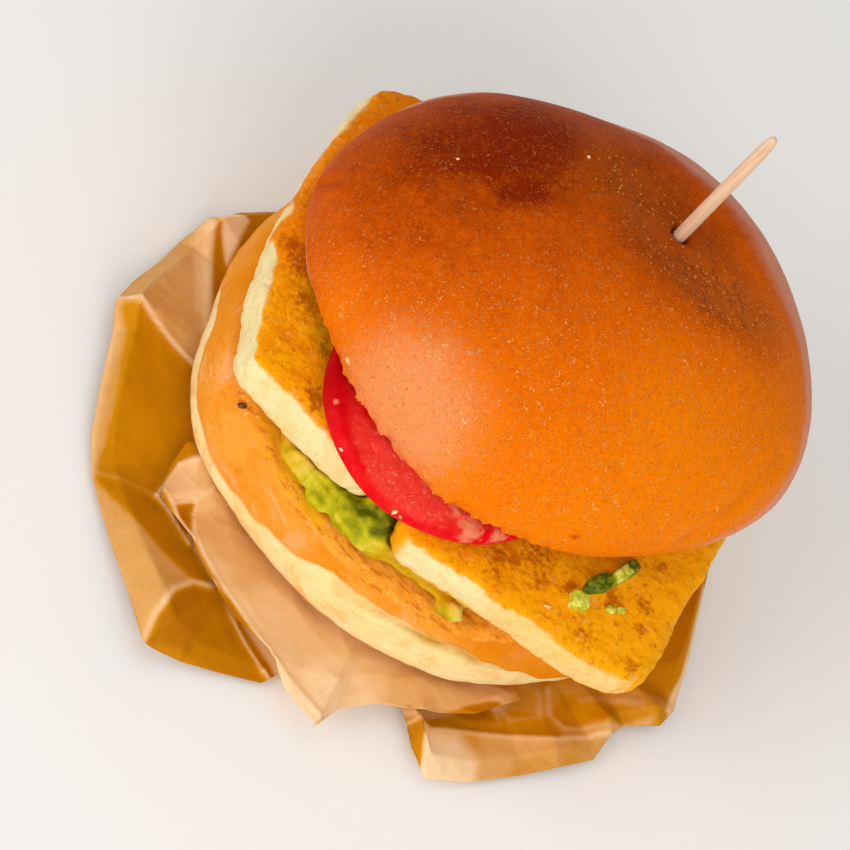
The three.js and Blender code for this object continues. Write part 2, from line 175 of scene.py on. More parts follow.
class BURGER_PG_tofu(PropertyGroup):
    """Finish of the two slabs."""

    cream: colour("Cream side", "Cut side of a slab", 242, 224, 166)
    warm: colour("Warm side", "Warmer patches of a cut side", 238, 188, 92)
    gold: colour("Fried gold", "Fried face", 254, 172, 4)
    amber: colour("Fried amber", "Deeper patches of the fried face", 240, 134, 0)
    sear: colour("Sear", "Browned spots", 168, 70, 2)
    blister: colour("Blister", "Pale blistered crust", 250, 188, 70)
    curd: colour("Curd", "Brightest crumbs of the cut side", 254, 238, 190)
    # Darker in cracks and hollows: partly the curd's own colour, partly painted shade
    crack: colour("Crack", "Hairline cracks and hollows in the cut side", 222, 190, 112)
    # Olive stain with painted shadow of the top bun along its edge
    oily: colour("Oily green", "Stain of the mash on a fried face", 156, 140, 6)
    greens: colour("Greens", "Bits of greens that are part of a slab", 150, 160, 16)
    detail: length("Face size", "Size of the mesh's faces", 0.55)
    relief: length("Relief", "Height of the fried face's bumps", 0.3)
    patches: length("Patches", "Size of deeper and paler patches", 4.5)
    mottle: length("Mottle", "Size of the fine mottle", 1.5)
    grain: length("Grain", "Size of the fried grain", 1.4)
    curds: length("Curds", "Size of the crumbs in a cut side", 1.3)
    cracks: length("Cracks", "Spacing of the hairline cracks", 3.4)
    bumps: length("Bumps", "Height of the finest relief", 0.3)


class BURGER_PG_avocado(PropertyGroup):
    """Finish of the mash."""

    pale: colour("Pale lumps", "Ripest lumps", 236, 218, 104)
    yellow: colour("Yellow green", "Ripe mash", 196, 186, 20)
    green: colour("Green", "Mash near the skin", 146, 150, 8)
    # Dark green mash, which also serves as painted shade in creases and under the slab
    dark: colour("Dark green", "Darkest mash and strips of skin", 82, 90, 1)
    oil: colour("Oil", "Brown, oily ends of the mash", 222, 158, 8)
    detail: length("Face size", "Size of the mesh's faces", 0.5)
    relief: length("Lumps", "Height of the mashed lumps", 0.9)
    mottle: length("Mottle", "Size of the fine mottle", 1.2)
    bumps: length("Bumps", "Height of the finest relief", 0.25)


class BURGER_PG_tomato(PropertyGroup):
    """Finish of the tomato slice."""

    skin: colour("Skin", "Outer wall of the slice", 222, 2, 18)
    flesh: colour("Flesh", "Paler flesh inside the wall", 250, 76, 62)
    sugary: colour("Grains", "Palest grains of the flesh", 255, 150, 128)
    # Painted shade that darkens the wall towards the slice's left end
    deep: colour("Deep red", "Darker end of the wall", 176, 0, 8)
    pulp: colour("Pulp", "Pale pulp at the bun's edge", 232, 140, 104)
    detail: length("Face size", "Size of the mesh's faces", 0.45)
    lumps: length("Lumps", "Size of the fine lumps of the flesh", 1.2)
    grain: length("Grain", "Size of the grains of the flesh", 0.9)
    bumps: length("Bumps", "Height of the finest relief", 0.3)


class BURGER_PG_paper(PropertyGroup):
    """Finish of the paper."""

    # These tones carry painted light on bright faces, ridges and folds, and painted shade in valleys and
    # under the flap, over the paper's own tone
    pale: colour("Pale", "Ridges and turned-up edges", 254, 222, 178)
    beige: colour("Beige", "Dry paper of the flap", 242, 194, 138)
    ochre: colour("Ochre", "Greasy paper of the fan", 206, 134, 4)
    dark: colour("Dark ochre", "Deepest valleys", 176, 104, 0)
    thickness: length("Thickness", "Thickness of the sheet", 0.16)
    creases: length("Creases", "Height of the small creases", 0.3)
    patches: length("Patches", "Size of greasy patches", 12)
    fibres: length("Fibres", "Size of the fibres", 0.9)
    bumps: length("Bumps", "Height of the finest relief", 0.12)


class BURGER_PG_skewer(PropertyGroup):
    """Finish of the skewer."""

    wood: colour("Wood", "Plain wood", 232, 197, 163)
    grain: colour("Grain", "Darker lines of the grain", 208, 160, 122)
    lines: length("Lines", "Size of the lines of the grain", 0.5)
    bumps: length("Bumps", "Height of the finest relief", 0.08)


class BURGER_PG_crumbs(PropertyGroup):
    """Loose bits."""

    bread: colour("Bread", "Crumbs of the bun", 236, 160, 84)
    bread_dark: colour("Dark bread", "Darker patches of a crumb", 226, 140, 62)
    pale: colour("Pale bits", "Bits of tofu and flour", 250, 214, 172)
    pale_dark: colour("Dark pale bits", "Darker patches of a pale bit", 240, 190, 120)
    pepper: colour("Pepper", "Flakes of pepper", 122, 82, 34)
    pepper_dark: colour("Dark pepper", "Darker patches of a flake", 60, 34, 10)
    cube: colour("Green cube", "Chopped stalk", 176, 190, 30)
    cube_pale: colour("Pale cube", "Paler patches of a stalk", 224, 226, 104)
    leaf: colour("Green leaf", "Chopped leaf", 62, 92, 4)
    leaf_pale: colour("Pale leaf", "Paler patches of a leaf", 128, 140, 20)
    mottle: length("Mottle", "Size of the mottle of crumbs and bits", 0.6)
    green_mottle: length("Green mottle", "Size of the mottle of the greens", 1.1)
    seed: IntProperty(name="Seed", description="Start of the random draw", default=7, min=0)


class BURGER_PG_stage(PropertyGroup):
    """Floor, lights and camera."""

    floor: colour("Floor", "Plain pale floor", 252, 252, 251)
    floor_dark: colour("Floor patches", "Faint darker patches of the floor", 228, 228, 226)
    sky: share("Sky", "Light from all round", 0.46)
    elevation: angle("Elevation", "Angle of the camera above the floor", 52)
    roll: angle("Roll", "Turn of the camera about its own line of sight", 43)
    distance: length("Distance", "From the camera to its target", 500)


# Shapes


def clamp(value, low=0.0, high=1.0):
    return max(low, min(high, value))


def ease(low, high, value):
    """Smooth step from 0 at low to 1 at high."""
    t = clamp((value - low) / (high - low))
    return t * t * (3 - 2 * t)


def bell(distance, width):
    """1 at no distance, falling softly to nothing past about two widths."""
    return math.exp(-((distance / width) ** 2))


def wander(point, size, seed=0.0):
    """Smooth noise from about -1 to 1, with bumps about size across."""
    return noise.noise(point / size + Vector((seed, 1.7 * seed, 2.3 * seed)))


def ridges(point, size, seed=0.0):
    """Noise from 0 to 1 with sharp ridges about size apart."""
    return 1 - min(1.0, 2.2 * abs(wander(point, size, seed)))


def azimuth(point, middle=Vector()):
    """Direction of a point from a middle, in degrees: 0 along +X, -90 towards the front."""
    return math.degrees(math.atan2(point.y - middle.y, point.x - middle.x))


def reach(point, middle=Vector()):
    return math.hypot(point.x - middle.x, point.y - middle.y)


def off_line(point, corners):
    """Distance from a point to the nearest stretch of a line through corners given in mm."""
    best = 1.0
    for start, end in zip(corners, corners[1:]):
        first = Vector(start) * MM
        last = Vector(end) * MM
        _, along = intersect_point_line(point, first, last)
        best = min(best, (point - first.lerp(last, clamp(along))).length)
    return best


def off_spot(point, spot):
    """Distance from a point to a spot given in mm."""
    return (point - Vector(spot) * MM).length


def soft_spots(point, spots):
    """The strength at a point of each of some spots: a place in mm, a width in mm and a strength."""
    return [strength * bell(off_spot(point, spot), width * MM) for spot, width, strength in spots]


def strongest_of(spots):
    """A field of soft spots that don't add up where they overlap."""
    return lambda point, normal: max(soft_spots(point, spots))


def stepped(value, stops):
    """Eases a value along stops, each a place on the way and the result there."""
    for (low, start), (high, end) in zip(stops, stops[1:]):
        if value <= high:
            return start + (end - start) * ease(low, high, value)
    return stops[-1][1]


def lumpy(point, size, seed=0.0):
    """Rounded lumps with creases between them, 1 on top of a lump, and a random value for each lump."""
    bent = point / size + 0.25 * Vector((wander(point, size, 3.0), wander(point, size, 5.0), 0))
    distances, middles = noise.voronoi(bent + Vector((seed, seed, seed)))
    return 1 - min(1.0, distances[0] * 1.25), 0.5 + 0.5 * noise.cell(middles[0] * 7.3)


def form_of(node):
    """A bmesh of a node's own form, with its doubled corners merged."""
    form = bmesh.new()
    form.from_mesh(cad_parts[node].data)
    bmesh.ops.remove_doubles(form, verts=form.verts, dist=0.001 * MM)
    bmesh.ops.recalc_face_normals(form, faces=form.faces)
    return form


def new_object(name, data):
    """An object in the scene that shows a mesh, a light or a camera."""
    thing = bpy.data.objects.new(name, data)
    bpy.context.scene.collection.objects.link(thing)
    return thing


def object_from(form, name):
    """Turns a bmesh into an object in the scene."""
    mesh = bpy.data.meshes.new(name)
    form.to_mesh(mesh)
    form.free()
    return new_object(name, mesh)


def apply_modifiers(thing):
    """Puts what the modifiers make into the mesh."""
    graph = bpy.context.evaluated_depsgraph_get()
    made = bpy.data.meshes.new_from_object(thing.evaluated_get(graph))
    rough = thing.data
    thing.modifiers.clear()
    thing.data = made
    made.name = thing.name
    bpy.data.meshes.remove(rough)


def add_modifier(thing, name, kind, **settings):
    """Puts a modifier on a thing."""
    modifier = thing.modifiers.new(name, kind)
    for label, value in settings.items():
        setattr(modifier, label, value)


def evened(form, name, detail, rounding=2):
    """An object with the form's shape, rounded and given even faces."""
    bmesh.ops.join_triangles(
        form, faces=form.faces, angle_face_threshold=0.5, angle_shape_threshold=1.4
    )
    thing = object_from(form, name)
    add_modifier(thing, "rounder", "SUBSURF", levels=rounding, render_levels=rounding)
    add_modifier(thing, "even", "REMESH", mode="VOXEL", voxel_size=detail)
    add_modifier(thing, "calmer", "SMOOTH", factor=0.5, iterations=4)
    apply_modifiers(thing)
    return thing


def shape(thing, shift_of):
    """Moves each point of a thing by the shift that its place and normal ask for."""
    form = bmesh.new()
    form.from_mesh(thing.data)
    form.normal_update()
    shifts = [shift_of(vert.co, vert.normal) for vert in form.verts]
    for vert, shift in zip(form.verts, shifts):
        vert.co += shift
    form.normal_update()
    form.to_mesh(thing.data)
    form.free()
    thing.data.update()


def store(thing, **fields):
    """Keeps values at each point, from its place and normal, for a material to read."""
    for name, value_of in fields.items():
        layer = thing.data.attributes.new(name, "FLOAT", "POINT")
        values = [value_of(vert.co, vert.normal) for vert in thing.data.vertices]
        layer.data.foreach_set("value", values)


def finish_piece(thing, material, node=None):
    """Gives a piece its material, smooth shading and body, and hides the node that it stands for."""
    thing.data.materials.clear()
    thing.data.materials.append(material)
    thing.data.shade_smooth()
    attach(thing, BODY)
    if node:
        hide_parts(node)


# Material parts

# How soft the edges of flecks and pores are, as a share of their noise's height
GRAIN_SOFTNESS = 0.09


def place(tree, kind, values=None, **settings):
    """A new node, with its settings, and its inputs set to values or wired to other sockets."""
    node = tree.nodes.new(kind)
    for name, value in settings.items():
        setattr(node, name, value)
    for name, value in (values or {}).items():
        if isinstance(value, bpy.types.NodeSocket):
            tree.links.new(value, node.inputs[name])
        else:
            node.inputs[name].default_value = value
    return node


def sums(tree, operation, first, second=0.0, third=0.0):
    """One step of arithmetic."""
    return place(
        tree, "ShaderNodeMath", {0: first, 1: second, 2: third}, operation=operation
    ).outputs["Value"]


def stretched(tree, value, low, high, to_low=0.0, to_high=1.0):
    """A value eased from one range into another."""
    values = {"Value": value, "From Min": low, "From Max": high, "To Min": to_low, "To Max": to_high}
    return place(
        tree, "ShaderNodeMapRange", values, interpolation_type="SMOOTHSTEP"
    ).outputs["Result"]


def product(tree, first, second):
    """One value times another."""
    return sums(tree, "MULTIPLY", first, second)


def added(tree, first, part, second):
    """A part of one value added to another."""
    return sums(tree, "MULTIPLY_ADD", first, part, second)


def centred(tree, value):
    """A value from 0 to 1 moved to lie about zero."""
    return sums(tree, "SUBTRACT", value, 0.5)


def blended(tree, mask, below, above):
    """Two colours mixed by a mask."""
    return place(tree, "ShaderNodeMix", {0: mask, 6: below, 7: above}, data_type="RGBA").outputs[2]


def layered(tree, base, *layers):
    """A colour with others laid over it in turn, each given as its mask and its colour."""
    for mask, above in layers:
        base = blended(tree, mask, base, above)
    return base


def ramped(tree, value, stops):
    """Colours along a value, from stops in rising order that each give a place and a colour."""
    ramp = place(tree, "ShaderNodeValToRGB", {"Fac": value})
    elements = ramp.color_ramp.elements
    for element, (position, shown) in zip(elements, (stops[0], stops[-1])):
        element.position = position
        element.color = shown
    for position, shown in stops[1:-1]:
        elements.new(position).color = shown
    return ramp.outputs["Color"]


def coordinates(tree):
    return place(tree, "ShaderNodeTexCoord").outputs["Object"]


def stored(tree, name):
    """The value that store() kept under a name."""
    return place(tree, "ShaderNodeAttribute", attribute_name=name).outputs["Fac"]


def clouds(tree, coords, size, detail=3.0, roughness=0.5, distortion=0.0):
    """Soft noise, from 0 to 1, with patches about size across."""
    values = {
        "Vector": coords, "Scale": 1 / size, "Detail": detail, "Roughness": roughness,
        "Distortion": distortion,
    }
    return place(tree, "ShaderNodeTexNoise", values).outputs["Fac"]


def squeezed(tree, coords, along):
    """Coordinates scaled along each axis."""
    return place(tree, "ShaderNodeMapping", {"Vector": coords, "Scale": along}).outputs["Vector"]


def new_group(name, numbers, results):
    """An empty node group that takes coordinates and numbers, and its two ends."""
    group = bpy.data.node_groups.new(name, "ShaderNodeTree")
    group.interface.new_socket("Vector", in_out="INPUT", socket_type="NodeSocketVector")
    for label, default in numbers.items():
        socket = group.interface.new_socket(label, in_out="INPUT", socket_type="NodeSocketFloat")
        socket.default_value = default
    for label in results:
        group.interface.new_socket(label, in_out="OUTPUT", socket_type="NodeSocketFloat")
    start = group.nodes.new("NodeGroupInput")
    end = group.nodes.new("NodeGroupOutput")
    return group, start.outputs, end.inputs


def make_ragged_mask():
    """A mask that turns on where a field passes zero, along a ragged line."""
    numbers = {"Field": 0.0, "Size": 2 * MM, "Wander": 1.0, "Softness": 0.1}
    group, start, end = new_group("ragged_mask", numbers, ["Mask"])
    fine = sums(group, "DIVIDE", 1.0, start["Size"])
    values = {"Vector": start["Vector"], "Scale": fine, "Detail": 4.0}
    stray = place(group, "ShaderNodeTexNoise", values).outputs["Fac"]
    moved = added(group, centred(group, stray), start["Wander"], start["Field"])
    below = product(group, start["Softness"], -1.0)
    group.links.new(stretched(group, moved, below, start["Softness"]), end["Mask"])
    return group


def make_fine_grain():
    """Fine grain of baked or fried food: light flecks, dark pores and their height."""
    numbers = {"Size": 1 * MM, "Flecks": 0.62, "Pores": 0.38, "Bend": 0.8}
    group, start, end = new_group("fine_grain", numbers, ["Light", "Dark", "Height"])
    fine = sums(group, "DIVIDE", 1.0, start["Size"])
    values = {
        "Vector": start["Vector"], "Scale": fine, "Detail": 3.0, "Roughness": 0.6,
        "Distortion": start["Bend"],
    }
    grain = place(group, "ShaderNodeTexNoise", values).outputs["Fac"]
    past_flecks = sums(group, "ADD", start["Flecks"], GRAIN_SOFTNESS)
    past_pores = sums(group, "SUBTRACT", start["Pores"], GRAIN_SOFTNESS)
    group.links.new(stretched(group, grain, start["Flecks"], past_flecks), end["Light"])
    group.links.new(stretched(group, grain, start["Pores"], past_pores), end["Dark"])
    group.links.new(grain, end["Height"])
    return group


def make_scattered_spots():
    """Separate round spots in some of the cells of an uneven grid."""
    numbers = {"Spacing": 6 * MM, "Share": 0.5, "Radius": 0.25, "Softness": 0.08}
    group, start, end = new_group("scattered_spots", numbers, ["Mask"])
    fine = sums(group, "DIVIDE", 1.0, start["Spacing"])
    cells = place(group, "ShaderNodeTexVoronoi", {"Vector": start["Vector"], "Scale": fine})
    inner = sums(group, "SUBTRACT", start["Radius"], start["Softness"])
    outer = sums(group, "ADD", start["Radius"], start["Softness"])
    spot = stretched(group, cells.outputs["Distance"], inner, outer, 1.0, 0.0)
    draw = place(group, "ShaderNodeSeparateColor", {"Color": cells.outputs["Color"]}).outputs["Red"]
    kept = sums(group, "LESS_THAN", draw, start["Share"])
    group.links.new(product(group, spot, kept), end["Mask"])
    return group


def make_hairlines():
    """Thin wandering lines, as of cracks in curd or creases in paper."""
    numbers = {"Spacing": 4 * MM, "Width": 0.04, "Bend": 0.3}
    group, start, end = new_group("hairlines", numbers, ["Mask"])
    fine = sums(group, "DIVIDE", 1.0, start["Spacing"])
    swirl = place(group, "ShaderNodeTexNoise", {"Vector": start["Vector"], "Scale": fine, "Detail": 3.0})
    bend = product(group, start["Bend"], start["Spacing"])
    pushed = place(
        group, "ShaderNodeVectorMath",
        {0: swirl.outputs["Color"], 1: (0.5, 0.5, 0.5)}, operation="SUBTRACT",
    ).outputs["Vector"]
    scaled = place(group, "ShaderNodeVectorMath", {0: pushed, "Scale": bend}, operation="SCALE")
    moved = place(
        group, "ShaderNodeVectorMath", {0: start["Vector"], 1: scaled.outputs["Vector"]}, operation="ADD"
    )
    cells = place(
        group, "ShaderNodeTexVoronoi",
        {"Vector": moved.outputs["Vector"], "Scale": fine}, feature="DISTANCE_TO_EDGE",
    )
    line = stretched(group, cells.outputs["Distance"], 0.0, start["Width"], 1.0, 0.0)
    group.links.new(line, end["Mask"])
    return group


GROUP_MAKERS = {
    "ragged_mask": make_ragged_mask,
    "fine_grain": make_fine_grain,
    "scattered_spots": make_scattered_spots,
    "hairlines": make_hairlines,
}


def effect(tree, name, values):
    """Places a shared node group, which is made the first time."""
    group = bpy.data.node_groups.get(name) or GROUP_MAKERS[name]()
    return place(tree, "ShaderNodeGroup", values, node_tree=group).outputs


def ragged(tree, coords, field, size, stray, softness):
    """A mask that turns on where a field passes zero, along a line that strays from it."""
    values = {"Vector": coords, "Field": field, "Size": size, "Wander": stray, "Softness": softness}
    return effect(tree, "ragged_mask", values)["Mask"]


def grainy(tree, coords, size, flecks, pores, bend=0.8):
    """Light flecks above one level of a fine noise, dark pores below another, and their height."""
    values = {"Vector": coords, "Size": size, "Flecks": flecks, "Pores": pores, "Bend": bend}
    return effect(tree, "fine_grain", values)


def spotted(tree, coords, spacing, kept, radius, softness):
    """A mask of scattered spots, with radius and softness as shares of their spacing."""
    values = {"Vector": coords, "Spacing": spacing, "Share": kept, "Radius": radius, "Softness": softness}
    return effect(tree, "scattered_spots", values)["Mask"]


def lined(tree, coords, spacing, width, bend):
    """A mask of thin lines, with width and bend as shares of their spacing."""
    values = {"Vector": coords, "Spacing": spacing, "Width": width, "Bend": bend}
    return effect(tree, "hairlines", values)["Mask"]


def new_material(name, roughness, specular):
    """A material with its shader, ready for colour and height."""
    material = bpy.data.materials.new(name)
    material.use_nodes = True
    tree = material.node_tree
    shader = tree.nodes["Principled BSDF"]
    shader.inputs["Roughness"].default_value = roughness
    shader.inputs["Specular IOR Level"].default_value = specular
    return material, tree, shader


def soften(shader, weight, depths):
    """Lets light into soft food, as deep as given in mm for red, green and blue."""
    shader.inputs["Subsurface Weight"].default_value = weight
    shader.inputs["Subsurface Radius"].default_value = Vector(depths) * MM
    shader.inputs["Subsurface Scale"].default_value = 1.0


def wire(tree, shader, base, height, depth):
    """Joins colour and height to the shader."""
    tree.links.new(base, shader.inputs["Base Color"])
    bump = place(tree, "ShaderNodeBump", {"Height": height, "Strength": 1.0, "Distance": depth})
    tree.links.new(bump.outputs["Normal"], shader.inputs["Normal"])


# Top bun

# Browner or paler places of the crust: place in mm, width in mm, and how much
CRUST_PATCHES = [
    ((-24.0, 0.0, 72.5), 10.0, 0.17),
    ((-28.0, 11.0, 69.0), 9.0, 0.14),
    ((-20.0, -4.8, 73.5), 2.6, 0.3),
    ((-22.5, -7.8, 72.4), 2.0, 0.24),
    ((-28.0, -4.5, 71.0), 2.4, 0.16),
    ((-20.5, 12.0, 72.3), 4.0, 0.16),
    ((-36.0, -8.0, 66.8), 7.0, 0.08),
    ((9.0, 17.5, 72.0), 16.0, 0.2),
    ((16.0, 12.0, 71.0), 8.0, -0.12),
    ((4.0, 14.0, 72.0), 9.0, 0.06),
    ((-7.0, 18.0, 71.0), 9.0, 0.14),
    ((-32.0, 5.0, 68.0), 15.0, 0.24),
    ((-33.0, -14.0, 66.0), 12.0, 0.1),
    ((24.0, -16.0, 71.0), 14.0, -0.17),
    ((-31.0, -34.0, 50.0), 8.0, -0.2),
    ((-8.0, -43.0, 54.0), 16.0, -0.17),
    ((10.0, -44.0, 52.0), 12.0, 0.09),
    ((27.5, -36.8, 51.5), 0.8, 0.7),
]

# Folds pressed into the crust: depth in mm, width in mm, and the line through corners in mm
CRUST_FOLDS = [
    (
        0.75, 1.5,
        [
            (45.8, 1.1, 62.6), (46.2, -6.0, 60.3), (45.6, -11.7, 57.6), (45.0, -15.4, 54.7),
            (43.3, -19.5, 52.2),
        ],
    ),
    (0.6, 1.0, [(-49.2, -14.6, 48.5), (-48.2, -15.2, 50.5), (-46.2, -15.8, 54.2)]),
]

# Middle of the dent, where painted shade browns the crust, and the line of painted shade inside its front
# rim, in mm, and the widths of both
DENT_SHADE_LINE = [(-8.0, 14.0, 71.5), (4.0, 9.0, 73.5), (13.0, 7.5, 74.0), (20.0, 11.0, 72.5)]
DENT_SHADE_WIDTH = 11.5 * MM
DENT_RIM_SHADE = [(1.0, 1.0, 76.0), (7.0, -0.5, 76.2), (13.5, 0.5, 75.4), (20.5, 4.0, 74.0), (27.0, 9.0, 72.0)]
DENT_RIM_SHADE_WIDTH = 6 * MM

# Height in mm below which the crust is pale, paler crust with a painted sheen along the rim, for each
# direction in degrees round the bun
PALE_SIDE_AND_SHEEN = [
    (-180, 50.0), (-170, 44.0), (-35, 40.0), (-15, 50.5), (1, 58.2), (9, 61.6), (18, 64.2), (29, 65.8),
    (43, 66.2), (58, 66.7), (90, 67.4), (113, 63.8), (139, 57.0), (160, 58.0), (173, 55.0), (180, 48.0),
]

# Middles in mm of the matt peach patch, floury dust with a painted soft sheen, and of the crumb that
# shows at the torn edge, and their widths
DUST_AND_SHEEN_SPOT = (-10.0, -44.0, 54.0)
DUST_AND_SHEEN_WIDTH = 16 * MM
CRUMB_SPOT = (-22.9, -39.6, 47.6)
CRUMB_WIDTH = 0.9 * MM

# The painted shade at the edge of the skewer's hole fades out between these distances, and between these
# heights
HOLE_EDGE = 2.1 * MM
HOLE_RADIUS = 1.5 * MM
HOLE_TOP = 66 * MM
HOLE_LOW = 60 * MM


def crust_baking(point, normal):
    """How brown the crust is, from 0 at its palest to 1."""
    # Browner towards the left, the back and the top
    x, y, z = point / MM
    baking = 0.37 - 0.0069 * x + 0.0033 * y + 0.0083 * (z - 60)
    baking += 0.00001 * x * (y - x)
    baking += sum(soft_spots(point, CRUST_PATCHES))
    # Plus a line of painted shade inside the dent's front rim
    return baking + 0.1 * bell(off_line(point, DENT_RIM_SHADE), DENT_RIM_SHADE_WIDTH)


def shaded_dent(point, normal):
    """1 in the dent round the skewer, where painted shade makes the crust browner and duller."""
    return ease(0.15, 0.9, bell(off_line(point, DENT_SHADE_LINE), DENT_SHADE_WIDTH))


def pale_side_and_sheen(point, normal):
    """1 on the pale lower side of the crust, which shows at the back and right: paler crust with a
    painted sheen along the rim.
    """
    edge = stepped(azimuth(point, BUN_MIDDLE), PALE_SIDE_AND_SHEEN)
    return ease(edge + 0.8, edge - 1.6, point.z / MM)


def bun_skirt(point, normal):
    """1 well below the upper edge of the pale side, in uneven steps."""
    edge = stepped(azimuth(point, BUN_MIDDLE), PALE_SIDE_AND_SHEEN) + 2 * wander(point, 7 * MM, 6.0)
    return ease(edge - 2, edge - 15, point.z / MM)


def bun_dust_and_sheen(point, normal):
    """Where the crust is matt and peach coloured, low on the front: floury dust with a painted soft
    sheen.
    """
    return ease(0.0, 1.0, bell(off_spot(point, DUST_AND_SHEEN_SPOT), DUST_AND_SHEEN_WIDTH))


def bun_crumb(point, normal):
    """Positive on the cut face and its torn edge, negative on the crust."""
    return ease(-0.45, -0.8, normal.z) - 0.5 + 0.9 * bell(off_spot(point, CRUMB_SPOT), CRUMB_WIDTH)


def bun_hole_shade(point, normal):
    """1 in and round the hole that the skewer makes, where painted shade darkens the crust."""
    return ease(HOLE_EDGE, HOLE_RADIUS, reach(point, SKEWER_AXIS)) * ease(HOLE_LOW, HOLE_TOP, point.z)


def bun_shift(settings):
    """Small lumps of the crust, its folds, and the torn edge over the tomato."""

    def shift(point, normal):
        grow = 0.2 * MM * wander(point, 9 * MM) + 0.06 * MM * wander(point, 2.4 * MM, 3.1)
        turn = azimuth(point, BUN_MIDDLE)
        over_tomato = ease(-140, -128, turn) * ease(-54, -66, turn)
        low = ease(-0.97, -0.75, normal.z) * ease(0.1, -0.3, normal.z)
        tear = wander(point, 1.5 * MM, 5.0) + 0.7 * wander(point, 3.2 * MM, 8.0)
        grow += settings.torn * over_tomato * low * tear
        for depth, width, line in CRUST_FOLDS:
            away = off_line(point, line) / (width * MM)
            grow += depth * MM * (0.45 * bell(away - 2.2, 1.4) - bell(away, 1.0))
        return normal * grow

    return shift


def baked_colours(settings, tree, patches, fine):
    """Crust from pale orange to dark brown, uneven most where it is browner."""
    baking = stored(tree, "baking")
    uneven = added(tree, patches, added(tree, baking, 0.75, 0.08), baking)
    uneven = added(tree, fine, added(tree, baking, 0.35, 0.6), uneven)
    stops = [
        (0.0, settings.pale), (0.25, settings.orange), (0.5, settings.tan), (0.75, settings.brown),
        (1.0, settings.dark),
    ]
    return ramped(tree, uneven, stops)


def glazed_crust(settings):
    """Glazed bun crust: orange sides, brown top, fine flecks and pores."""
    material, tree, shader = new_material("glazed_crust", roughness=0.4, specular=0.012)
    coords = coordinates(tree)
    baking = stored(tree, "baking")
    dust = stored(tree, "dust")
    dent = stored(tree, "dent")
    skirt = stored(tree, "skirt")
    patches = centred(tree, clouds(tree, coords, settings.patches, 4.0, 0.6, 0.4))
    mottle = clouds(tree, coords, settings.mottle, 5.0, 0.7, 1.2)
    fine = centred(tree, mottle)
    grain = grainy(tree, coords, settings.grain, 0.6, 0.43)
    strokes = grainy(tree, coords, settings.strokes, 0.565, 0.3, 2.0)
    flecks = stretched(tree, strokes["Light"], 0.0, 0.5)

    dusty_sheen = added(tree, fine, 1.7, added(tree, patches, 0.5, dust))
    dusty_sheen = stretched(tree, dusty_sheen, 0.1, 1.05, 0.0, 0.95)
    dusty_sheen = product(tree, dusty_sheen, stretched(tree, dust, 0.0, 0.35))
    wrinkle_shade = lined(tree, coords, settings.wrinkles, 0.09, 1.6)
    wrinkle_shade = product(tree, wrinkle_shade, stretched(tree, patches, -0.08, 0.08, 0.25, 0.8))
    fleck_share = stretched(tree, baking, 0.35, 0.6, 0.8, 0.32)
    fleck_share = product(tree, fleck_share, stretched(tree, patches, -0.12, 0.08, 0.6, 1.0))
    specks = spotted(tree, coords, settings.specks, 0.5, 0.2, 0.12)
    side = blended(tree, skirt, settings.side, settings.skirt)
    base = layered(
        tree, baked_colours(settings, tree, patches, fine),
        # Peach patch: floury dust with a painted soft sheen
        (dusty_sheen, settings.dusty_sheen),
        # Dent and its wrinkles: painted shade over browner crust
        (product(tree, dent, stretched(tree, mottle, 0.38, 0.6, 0.2, 0.7)), settings.olive),
        (product(tree, wrinkle_shade, dent), settings.pucker),
        # Pale side: paler crust with a painted sheen along the rim
        (product(tree, stored(tree, "side"), 0.9), side),
        (product(tree, stretched(tree, mottle, 0.5, 0.75, 0.0, 0.5), skirt), settings.tan),
        # Light flecks, which also stand in for tiny painted glints
        (product(tree, flecks, fleck_share), settings.fleck_and_glint),
        (product(tree, product(tree, flecks, dusty_sheen), 0.5), settings.crumb),
        (product(tree, specks, dent), settings.fleck_and_glint),
        (product(tree, grain["Dark"], stretched(tree, baking, 0.3, 0.55, 0.45, 0.0)), settings.tan),
        (product(tree, grain["Dark"], stretched(tree, baking, 0.4, 0.9, 0.0, 0.4)), settings.dark),
        (ragged(tree, coords, stored(tree, "cut"), 1.6 * MM, 0.5, 0.07), settings.crumb),
        # Painted shade in and round the skewer's hole
        (stored(tree, "pit"), settings.pit),
    )
    height = added(tree, mottle, 0.5, product(tree, grain["Height"], 0.6))
    height = added(tree, flecks, 0.5, height)
    wire(tree, shader, base, height, settings.bumps)
    return material


class BURGER_OT_top_bun(Operator):
    """Makes the glazed upper bun half"""

    bl_idname = "burger.top_bun"
    bl_label = "Top bun"

    def execute(self, context):
        settings = context.scene.burger_top_bun
        bun = evened(form_of("top_bun"), "glazed_top_bun", settings.detail)
        shape(bun, bun_shift(settings))
        store(
            bun, baking=crust_baking, dust=bun_dust_and_sheen, cut=bun_crumb, pit=bun_hole_shade, side=pale_side_and_sheen,
            skirt=bun_skirt, dent=shaded_dent,
        )
        finish_piece(bun, glazed_crust(settings), "top_bun")
        return {"FINISHED"}


# Bottom bun

# Upper edge of the pale band: direction in degrees, and height in mm
BAND_EDGE = [
    (-180, 5.0), (-165, 7.0), (-157, 11.5), (-150, 13.8), (-143, 12.4), (-136, 11.2), (-128, 10.6),
    (-118, 10.0), (-110, 11.0), (-99, 14.0), (-88, 18.0), (-70, 18.2), (-60, 17.6), (-53, 16.0),
    (-47, 13.4), (-38, 10.2), (-28, 8.5), (0, 7.0), (180, 8.0),
]

# More orange places of the crust: place in mm, width in mm, and strength
ORANGE_PATCHES = [
    ((-48.5, -21.5, 19.5), 7.0, 0.9), ((-2.4, -53.0, 20.6), 5.0, 0.9), ((-51.0, -10.0, 20.0), 7.0, 0.8),
    ((12.0, -52.0, 20.0), 3.5, 0.6),
]

